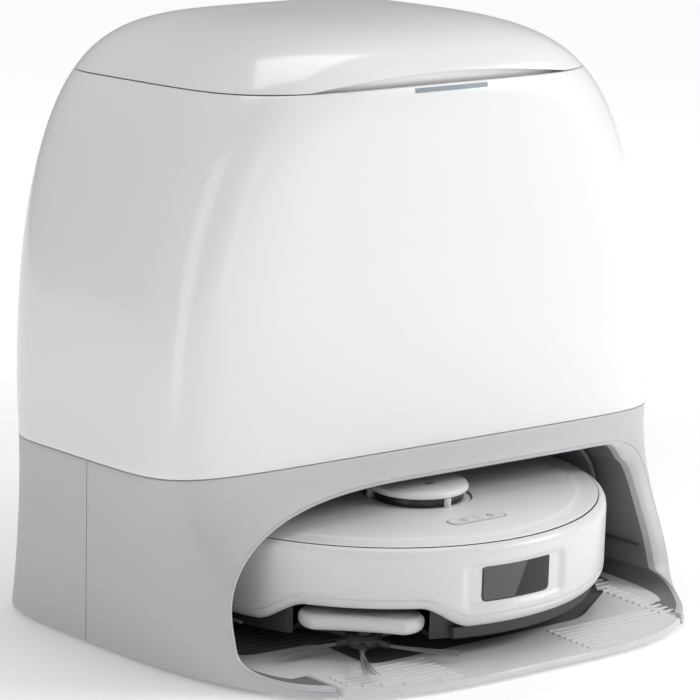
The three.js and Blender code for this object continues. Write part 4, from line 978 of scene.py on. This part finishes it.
class ROBOT_OT_cover(bpy.types.Operator):
    """Builds the robot's top cover with its bevel ring, turret and buttons"""
    bl_idname = "robot.cover"
    bl_label = "Cover and turret"

    def execute(self, context):
        def crown(r):
            return SHELL_TOP + 1.5 + 3.5 * (1 - (r / COVER_RADIUS) ** 2.6)

        brim = SHELL_TOP + 0.25
        profile = [(0, crown(0)), (30, crown(30)), (60, crown(60)), (90, crown(90)), (115, crown(115)),
                   (135, crown(135)), (149, crown(149)), (151.6, crown(151.6) - 0.1),
                   (152.6, crown(152.6) - 0.6), (153.4, crown(153) - 0.9), (160, crown(160) - 1.0),
                   (165.2, brim + 0.5), (167.6, brim + 0.35), (168.5, brim + 0.15), (168.2, brim),
                   (162, brim), (157, brim - 2.5), (120, crown(120) - 4), (60, crown(60) - 4),
                   (0, crown(0) - 4)]
        cover = turned("robot_top_cover", profile, steps=240)
        hole = rod("hole", (0, LIDAR_Y, 60), (0, LIDAR_Y, 120), LIDAR_RADIUS + 3.3, 96, True)
        slot = prism("slot", rounded_box(-26, -129.2, 26, -115.8, 6.7, 10), 60, 120, "z", True)
        finished(cut(cover, hole, slot), "robot", "robot", ["robot_cover"], 20)
        skirt = turned("robot_rear_skirt", [(175.9, 33), (175.9, 75), (175.3, 78.8), (173.4, 81.6),
                                            (170.4, 83.2), (169.4, 83.4), (169.3, 83.1), (172.8, 80.6),
                                            (175.15, 75), (175.15, 33), (172.7, 25.6), (168.4, 21.9),
                                            (168.9, 21.5), (173.4, 24.8)], steps=240)
        keep = block("keep", (-300, 4.2, -10), (300, 300, 200), True)
        finished(shape(skirt, "INTERSECT", keep), "robot", "robot")
        base = 86.6
        cage = turned("lidar_skirt", [(31.4, 82), (40.4, 82), (40.5, 84.6), (39.6, 85.8), (38.2, 86.4),
                                      (36.9, 86.7), (31.4, 86.7)], (0, LIDAR_Y), 128)
        pillars = []
        for i in range(3):
            angle = math.radians(30 + 120 * i)
            x, y = 35.5 * math.cos(angle), LIDAR_Y + 35.5 * math.sin(angle)
            pillars.append(rod("pillar", (x, y, base - 1), (x, y, 93.6), 2.6, 20, True))
        finished(merged("lidar_skirt_and_pillars", cage, *pillars), "robot", "robot",
                 ["lidar_cage"])
        band = turned("lidar_dark_band", [(33.2, 86.8), (34.4, 86.8), (34.4, 93.7), (33.2, 93.7)],
                      (0, LIDAR_Y), 128)
        finished(band, "robot", "gloss_black")
        cap = turned("lidar_top_cap", [(0, 99.6), (20, 99.55), (31, 99.3), (34.6, 98.9), (36.6, 97.9),
                                       (37.6, 96.2), (37.6, 94.9), (36.9, 94.0), (35, 93.8), (0, 93.8)],
                     (0, LIDAR_Y), 128)
        finished(cap, "robot", "robot", ["lidar_cap"])
        drum = turned("lidar_drum", [(0, 93.4), (29.6, 93.4), (30.6, 92.6), (30.6, 79), (0, 79)],
                      (0, LIDAR_Y), 96)
        eyes = [block("eye", (side * 12 - 6, LIDAR_Y - 40, 88), (side * 12 + 6, LIDAR_Y - 28.5, 92.4),
                      True) for side in (-1, 1)]
        finished(cut(drum, *eyes), "lidar_rotor", "gloss_black", ["lidar_rotor"])
        mark = prism("turret_mark", rounded([(-4.6, LIDAR_Y - 16), (4.6, LIDAR_Y - 16),
                                             (3.6, LIDAR_Y - 11.6), (-3.6, LIDAR_Y - 11.6)], 1.6), 99.2,
                     99.66, "z", True)
        finished(mark, "robot", "mark")
        level = crown(122.5)
        outline = rounded_box(-25.5, -129.1, 25.5, -115.9, 6.6, 12)
        bezel = prism("button_surround", outline, level - 9, level + 0.05, "z", True, 0.3)
        inner = rounded_box(-24.7, -128.3, 24.7, -116.7, 5.8, 12)
        hollow = prism("hollow", inner, level - 7, level + 4, "z", True)
        finished(cut(bezel, hollow), "robot", "silver", ["button_bezel"])
        for side, body, name in ((-1, "dock_button", "home_key"), (1, "power_button", "power_key")):
            x0, x1 = (-24.4, -0.4) if side < 0 else (0.4, 24.4)
            key = prism(name, rounded_box(-24.2, -127.9, 24.2, -117.1, 5.5, 12), level - 3, level + 0.55,
                        "z", True, 0.4)
            keep = block("keep", (x0, -200, 0), (x1, 0, 200), True)
            finished(shape(key, "INTERSECT", keep), body, "robot", [body])
        ring = turned("ring", [(1.9, level + 0.4), (2.5, level + 0.4), (2.5, level + 0.72),
                               (1.9, level + 0.72)], (12.5, -122.5), 40)
        tick = block("tick", (12.2, -121.4, level + 0.4), (12.8, -118.6, level + 0.75), True)
        finished(merged("power_key_mark", ring, tick), "power_button", "mark")
        house = prism("home_key_mark", [(-15, -124.6), (-10, -124.6), (-10, -122), (-12.5, -119.6),
                                        (-15, -122)], level + 0.4, level + 0.72, "z", True)
        door = prism("door", [(-14.4, -124.0), (-10.6, -124.0), (-10.6, -122.2), (-12.5, -120.5),
                              (-14.4, -122.2)], level, level + 2, "z", True)
        finished(cut(house, door), "dock_button", "mark")
        return {"FINISHED"}


class ROBOT_OT_side_brush(bpy.types.Operator):
    """Builds the two-lobed arm and the side brush with its curved bristles"""
    bl_idname = "robot.side_brush"
    bl_label = "Side brush"

    def execute(self, context):
        tip, pivot = np.array(ARM_TIP), np.array(ARM_PIVOT)
        along = (pivot - tip) / np.linalg.norm(pivot - tip)
        across = np.array([-along[1], along[0]])
        length = np.linalg.norm(pivot - tip)
        outline = []
        for t in np.linspace(0, TURN, 96, endpoint=False):
            c, s = math.cos(t), math.sin(t)
            end = length / 2 * (1 if c > 0 else -1) * min(1, abs(c) * 3)
            waist = 1 - 0.16 * max(0, 1 - (abs(c) / 0.34) ** 2)
            point = (tip + pivot) / 2 + along * (end + 19.2 * c) + across * 19.2 * s * waist
            outline.append(point)
        arm = prism("side_brush_carrier", outline, 19, 31, "z", True, 0)
        bpy.context.view_layer.objects.active = arm
        bevel = arm.modifiers.new("soft", "BEVEL")
        bevel.width = 5.2 * MM
        bevel.segments = 6
        bevel.angle_limit = math.radians(60)
        settle(arm)
        socket = rod("socket", (HUB[0], HUB[1], 10), (HUB[0], HUB[1], 25), 6, 32, True)
        finished(cut(arm, socket), "side_brush_arm", "robot", ["side_brush_arm"], 45)
        lobes = []
        for end in (tip, pivot):
            lobes.append(turned("lobe", [(0, 31.5), (9, 31.4), (11.5, 30.9), (12.0, 30.4), (0, 30.4)],
                                tuple(end), 40))
        finished(merged("carrier_lobes", *lobes), "side_brush_arm", "robot")
        stem = rod("stem", (HUB[0], HUB[1], 4), (HUB[0], HUB[1], 24), 5, 32, True)
        cap = turned("cap", [(0, 14), (9, 14), (12, 12), (12.5, 9), (11.5, 6), (0, 5)], HUB, 48)
        sockets = []
        reach = context.scene.robot_sizes.bristle_length / MM
        places, spins, sizes = [], [], []
        for arm_index in range(5):
            angle = math.radians(15 + 72 * arm_index)
            x, y = HUB[0] + 8 * math.cos(angle), HUB[1] + 8 * math.sin(angle)
            ex, ey = HUB[0] + 20 * math.cos(angle), HUB[1] + 20 * math.sin(angle)
            sockets.append(rod("socket", (x, y, 9.5), (ex, ey, 7.8), 2.6, 20, True))
            for strand in range(16):
                spread = math.radians((strand - 7.5) * 0.75)
                places.append((ex - 2 * math.cos(angle), ey - 2 * math.sin(angle),
                               7.8 + 0.9 * math.sin(strand * 2.1)))
                spins.append((0, math.radians(1.2 + 0.6 * math.sin(strand * 1.7)), angle + spread))
                sizes.append((1, 1, 1))
        # The hub, stem and sockets take the dark finish as painted shade, for the shadow under the arm.
        finished(merged("side_brush_body", stem, cap, *sockets), "side_brush", "dark",
                 ["side_brush_hub"])
        strand = bristle("strand", reach - 16, 0.45)
        brush = repeated("side_brush_bristles", strand, seat(places), spins, sizes, "bristle", 0.14, 7)
        finished(brush, "side_brush", "bristle", (), 60)
        return {"FINISHED"}


def bristle(name, length, radius):
    """One curved tapering strand along X, drooping a little and bending sideways."""
    rings = []
    for t in np.linspace(0, 1, 9):
        centre = np.array([length * t, 9.0 * t * t, -2.2 * t])
        angle = np.linspace(0, TURN, 5, endpoint=False)
        r = radius * (1 - 0.5 * t)
        rings.append(np.array([centre + (0, r * math.cos(a), r * math.sin(a)) for a in angle]))
    return skin(name, rings, False)


class ROBOT_OT_wheels(bpy.types.Operator):
    """Builds the treaded drive wheels and the roller brush"""
    bl_idname = "robot.wheels"
    bl_label = "Wheels and roller"

    def execute(self, context):
        count = context.scene.robot_sizes.tread_count
        for side, name in ((-1, "left"), (1, "right")):
            x, y, z = side * WHEEL[0], WHEEL[1], WHEEL[2]
            tyre = rod("tyre", (x - 11, y, z), (x + 11, y, z), 34.4, 96, True)
            bore = rod("bore", (x - 12, y, z), (x + 12, y, z), 5, 24, True)
            dish = rod("dish", (x + side * 8, y, z), (x + side * 16, y, z), 25, 64, True)
            finished(cut(tyre, bore, dish), "drive_wheel_" + name, "rubber",
                     ["drive_wheel_" + name])
            lug = prism("lug", [(-1.3, -1.9), (1.3, -1.9), (1.0, 1.9), (-1.0, 1.9)], -1.6, 1.5)
            places, spins, sizes = [], [], []
            for row in range(3):
                for i in range(count):
                    angle = TURN * (i + 0.5 * (row % 2)) / count
                    places.append((x + (row - 1) * 7.0, y + 34.4 * math.sin(angle),
                                   z + 34.4 * math.cos(angle)))
                    spins.append((-angle + PITCH, 0, 0))
                    sizes.append((1.9, 1, 1))
            lugs = repeated("wheel_tread_" + name, lug, seat(places), spins, sizes, "rubber")
            finished(lugs, "drive_wheel_" + name, "rubber")
        y, z = ROLL
        core = rod("core", (-82, y, z), (82, y, z), 12.2, 64, True)
        stub = rod("stub", (-88, y, z), (88, y, z), 3, 24, True)
        finished(merged("roller_core", core, stub), "brush_roll", "rubber", ["brush_roll"])
        places, spins, sizes = [], [], []
        for row in range(6):
            for i in range(54):
                t = i / 53
                angle = TURN * (row / 6 + 0.35 * abs(t - 0.5) * 2)
                places.append((-79 + 158 * t, y + 12 * math.sin(angle), z + 12 * math.cos(angle)))
                spins.append((-angle + PITCH, 0, 0))
                sizes.append((1, 1, 1))
        fin = prism("fin", [(-1.75, -0.9), (1.75, -0.9), (1.75, 0.9), (-1.75, 0.9)], -0.6, 4.9)
        fins = repeated("roller_fins", fin, seat(places), spins, sizes, "bristle")
        finished(fins, "brush_roll", "bristle")
        return {"FINISHED"}


def ripple(x, y, seed):
    """A fixed mix of waves used to make soft things uneven."""
    slow = math.sin(x * 0.31 + seed) * math.cos(y * 0.27 - seed)
    middle = 0.5 * math.sin(x * 0.83 + y * 0.61 + 2 * seed)
    return (slow + middle + 0.25 * math.sin(x * 1.9 - y * 1.7 + seed * 3)) / 1.75



class ROBOT_OT_soft_goods(bpy.types.Operator):
    """Builds the padded mop discs and the dust bag"""
    bl_idname = "robot.soft_goods"
    bl_label = "Mop pads and dust bag"

    def execute(self, context):
        for side, name in ((-1, "left"), (1, "right")):
            cx = side * MOP_X
            steps, rows = 144, []
            profile = [(0.5, 1.6), (12, 1.4), (24, 1.3), (36, 1.25), (47, 1.25), (56, 1.4), (61.5, 1.9),
                       (64.6, 2.9), (65.6, 4.2), (64.8, 5.6), (62.6, 6.6), (58, 7.0), (40, 7.0), (20, 7.0),
                       (0.5, 7.0)]
            for r, z in profile:
                row = []
                for i in range(steps):
                    angle = TURN * i / steps
                    seam = 0.5 * math.exp(-((math.sin(angle * 6) / 0.16) ** 2)) if z < 3 and r > 14 else 0
                    seam += 0.5 * math.exp(-(((r - 36) / 2.2) ** 2)) if z < 3 else 0
                    swell = 0.22 * ripple(r * math.cos(angle), r * math.sin(angle),
                                          1.3 + side) if r > 1 else 0
                    rr = r + (0.5 * math.sin(angle * 24) if r > 60 else 0)
                    row.append((cx + rr * math.cos(angle), MOP_Y + rr * math.sin(angle),
                                z + seam + (swell if z < 5 else 0)))
                rows.append(np.array(row))
            pad = skin("mop_cloth_" + name, rows, False, True)
            finished(pad, "mop_" + name, "mop", ["mop_pad_" + name], 80)
        low, high = np.array((-98.0, -66.0, 149.4)), np.array((34.0, 18.0, 285.4))
        middle, half = (low + high) / 2, (high - low) / 2
        rings = []
        for level in np.linspace(-1, 1, 64):
            belly = 1 - 0.32 * abs(level) ** 6
            ring = []
            for corner in quarter_ring(half[0] * belly, half[1] * belly, 5.0, 36):
                x, y = corner
                pleat = 1.6 * math.sin(level * 44) * (0.4 + 0.6 * abs(y) / half[1])
                swell = 1.6 * ripple(x, level * 68, 0.7)
                length = math.hypot(x, y)
                k = 1 + (pleat + swell - 3.0) / length
                ring.append((middle[0] + x * k, middle[1] + y * k,
                             middle[2] + half[2] * level * 0.985 + 0.8 * ripple(x, y, 2)))
            rings.append(np.array(ring))
        bag = skin("dust_bag_fleece", rings, False)
        finished(bag, "dock", "bag", ["dust_bag"], 80)
        return {"FINISHED"}


def quarter_ring(a, b, power, count):
    q = quarter(a, b, power, count)
    return np.vstack([q[:-1], (q[::-1] * (-1, 1))[:-1], (q * (-1, -1))[:-1], (q[::-1] * (1, -1))[:-1]])


class DOCK_OT_fittings(bpy.types.Operator):
    """Gives the remaining parts of the dock and the robot their finishes"""
    bl_idname = "dock.fittings"
    bl_label = "Fittings"

    def execute(self, context):
        finish = {"tray_white": "tray", "board_silver": "board", "steel": "steel", "dark_plastic": "dark",
                  "black_plastic": "black", "clear_plastic": "tank_clear", "smoke_plastic": "tank_smoke",
                  "card_board": "card", "contact_brass": "brass", "rubber": "rubber",
                  "robot_white": "robot", "robot_silver": "silver", "black_gloss": "gloss_black",
                  "bristle_grey": "bristle", "liner_grey": "liner", "base_grey": "base",
                  "shell_white": "shell", "bar_lens": "lens", "bag_paper": "bag", "mop_fabric": "mop",}
        own = {"robot_chassis": "dark"}
        slots = {row["node"]: row["material_slot"] for row in frame["record"]["subparts"]}
        for name, obj in frame["nodes"].items():
            material = FINISHES[own.get(name, finish[slots[name]])]()
            if not obj.data.materials:
                obj.data.materials.append(material)
            for index in range(len(obj.data.materials)):
                obj.data.materials[index] = material
        return {"FINISHED"}


# ------------------------------------------------------------------------------------- stage

def area(name, place, aim, size, power, colour=(1, 1, 1), size_y=None):
    lamp = bpy.data.lights.new(name, "AREA")
    lamp.energy = power
    lamp.color = colour
    lamp.size = size
    if size_y:
        lamp.shape = "RECTANGLE"
        lamp.size_y = size_y
    obj = bpy.data.objects.new(name, lamp)
    obj.location = place
    obj.rotation_euler = (Vector(aim) - Vector(place)).to_track_quat("-Z", "Y").to_euler()
    bpy.context.scene.collection.objects.link(obj)
    return obj


def floor_finish():
    """A matt white floor that glows gently far from the middle, like a lit studio sweep."""
    material = plastic("studio floor", (0.93, 0.93, 0.93), 0.75, 0.01, 30, 0.004)
    nodes, links = material.node_tree.nodes, material.node_tree.links
    place = nodes.new("ShaderNodeTexCoord")
    reach = nodes.new("ShaderNodeVectorMath")
    reach.operation = "LENGTH"
    links.new(place.outputs["Object"], reach.inputs[0])
    glow = nodes.new("ShaderNodeMapRange")
    glow.interpolation_type = "SMOOTHSTEP"
    glow.inputs["From Min"].default_value = 0.25
    glow.inputs["From Max"].default_value = 1.6
    glow.inputs["To Min"].default_value = 0.22
    glow.inputs["To Max"].default_value = 0.75
    links.new(reach.outputs["Value"], glow.inputs["Value"])
    shader = nodes["Principled BSDF"]
    shader.inputs["Emission Color"].default_value = (1, 1, 1, 1)
    links.new(glow.outputs["Result"], shader.inputs["Emission Strength"])
    return material


class STAGE_OT_studio(bpy.types.Operator):
    """Sets the pale floor, the soft lights and the camera"""
    bl_idname = "stage.studio"
    bl_label = "Studio"

    def execute(self, context):
        floor = mesh_object("studio_floor", [(-9000, -9000, 0), (9000, -9000, 0), (9000, 9000, 0),
                                             (-9000, 9000, 0)], [(0, 1, 2, 3)])
        floor.data.materials.append(floor_finish())
        world = bpy.data.worlds.new("studio")
        world.use_nodes = True
        world.node_tree.nodes["Background"].inputs["Color"].default_value = (1, 1, 1, 1)
        world.node_tree.nodes["Background"].inputs["Strength"].default_value = 0.22
        context.scene.world = world
        area("key softbox", (0.88, -0.74, 0.66), (0, -0.05, 0.2), 0.5, 6.6)
        area("left softbox", (-1.5, -0.7, 0.6), (0, 0.05, 0.25), 0.6, 3.8, (1, 1, 1), 1.3)
        area("corner strip", (-0.35, -1.9, 0.35), (-0.15, -0.08, 0.28), 0.3, 0.9, (1, 1, 1), 0.9)
        area("top softbox", (0.1, 0.1, 1.9), (0, 0, 0.3), 1.2, 14)
        camera = bpy.data.cameras.new("camera")
        camera.sensor_width = 36.0
        camera.lens = 184.898
        camera.clip_end = 60
        obj = bpy.data.objects.new("camera", camera)
        azimuth, elevation, distance = math.radians(-37.04), math.radians(11.2), 2.7926
        back = Vector((math.sin(azimuth) * math.cos(elevation), -math.cos(azimuth) * math.cos(elevation),
                       math.sin(elevation)))
        obj.location = Vector((0.04904, 0.076, 0.18302)) + back * distance
        obj.rotation_euler = (-back).to_track_quat("-Z", "Y").to_euler()
        context.scene.collection.objects.link(obj)
        context.scene.camera = obj
        context.scene.view_settings.view_transform = "Standard"
        return {"FINISHED"}


class VIEW3D_PT_robot_dock(bpy.types.Panel):
    """Lists the sizes and the pieces of the robot and its dock"""
    bl_label = "Robot and dock"
    bl_space_type = "VIEW_3D"
    bl_region_type = "UI"
    bl_category = "Robot dock"

    def draw(self, context):
        layout = self.layout
        for group in (context.scene.dock_sizes, context.scene.robot_sizes):
            for name in group.__annotations__:
                layout.prop(group, name)
        for operator in OPERATORS:
            layout.operator(operator.bl_idname)


OPERATORS = (DOCK_OT_fittings, DOCK_OT_body, DOCK_OT_lid, DOCK_OT_base, DOCK_OT_garage, DOCK_OT_tray,
             ROBOT_OT_bumper, ROBOT_OT_cover, ROBOT_OT_side_brush, ROBOT_OT_wheels, ROBOT_OT_soft_goods,
             STAGE_OT_studio)
CLASSES = (DockSizes, RobotSizes) + OPERATORS + (VIEW3D_PT_robot_dock,)


def register():
    for cls in CLASSES:
        bpy.utils.register_class(cls)
    bpy.types.Scene.dock_sizes = bpy.props.PointerProperty(type=DockSizes)
    bpy.types.Scene.robot_sizes = bpy.props.PointerProperty(type=RobotSizes)


def unregister():
    del bpy.types.Scene.dock_sizes
    del bpy.types.Scene.robot_sizes
    for cls in reversed(CLASSES):
        bpy.utils.unregister_class(cls)


def main():
    register()
    for operator in OPERATORS:
        group, name = operator.bl_idname.split(".")
        getattr(getattr(bpy.ops, group), name)()


if __name__ == "__main__":
    main()
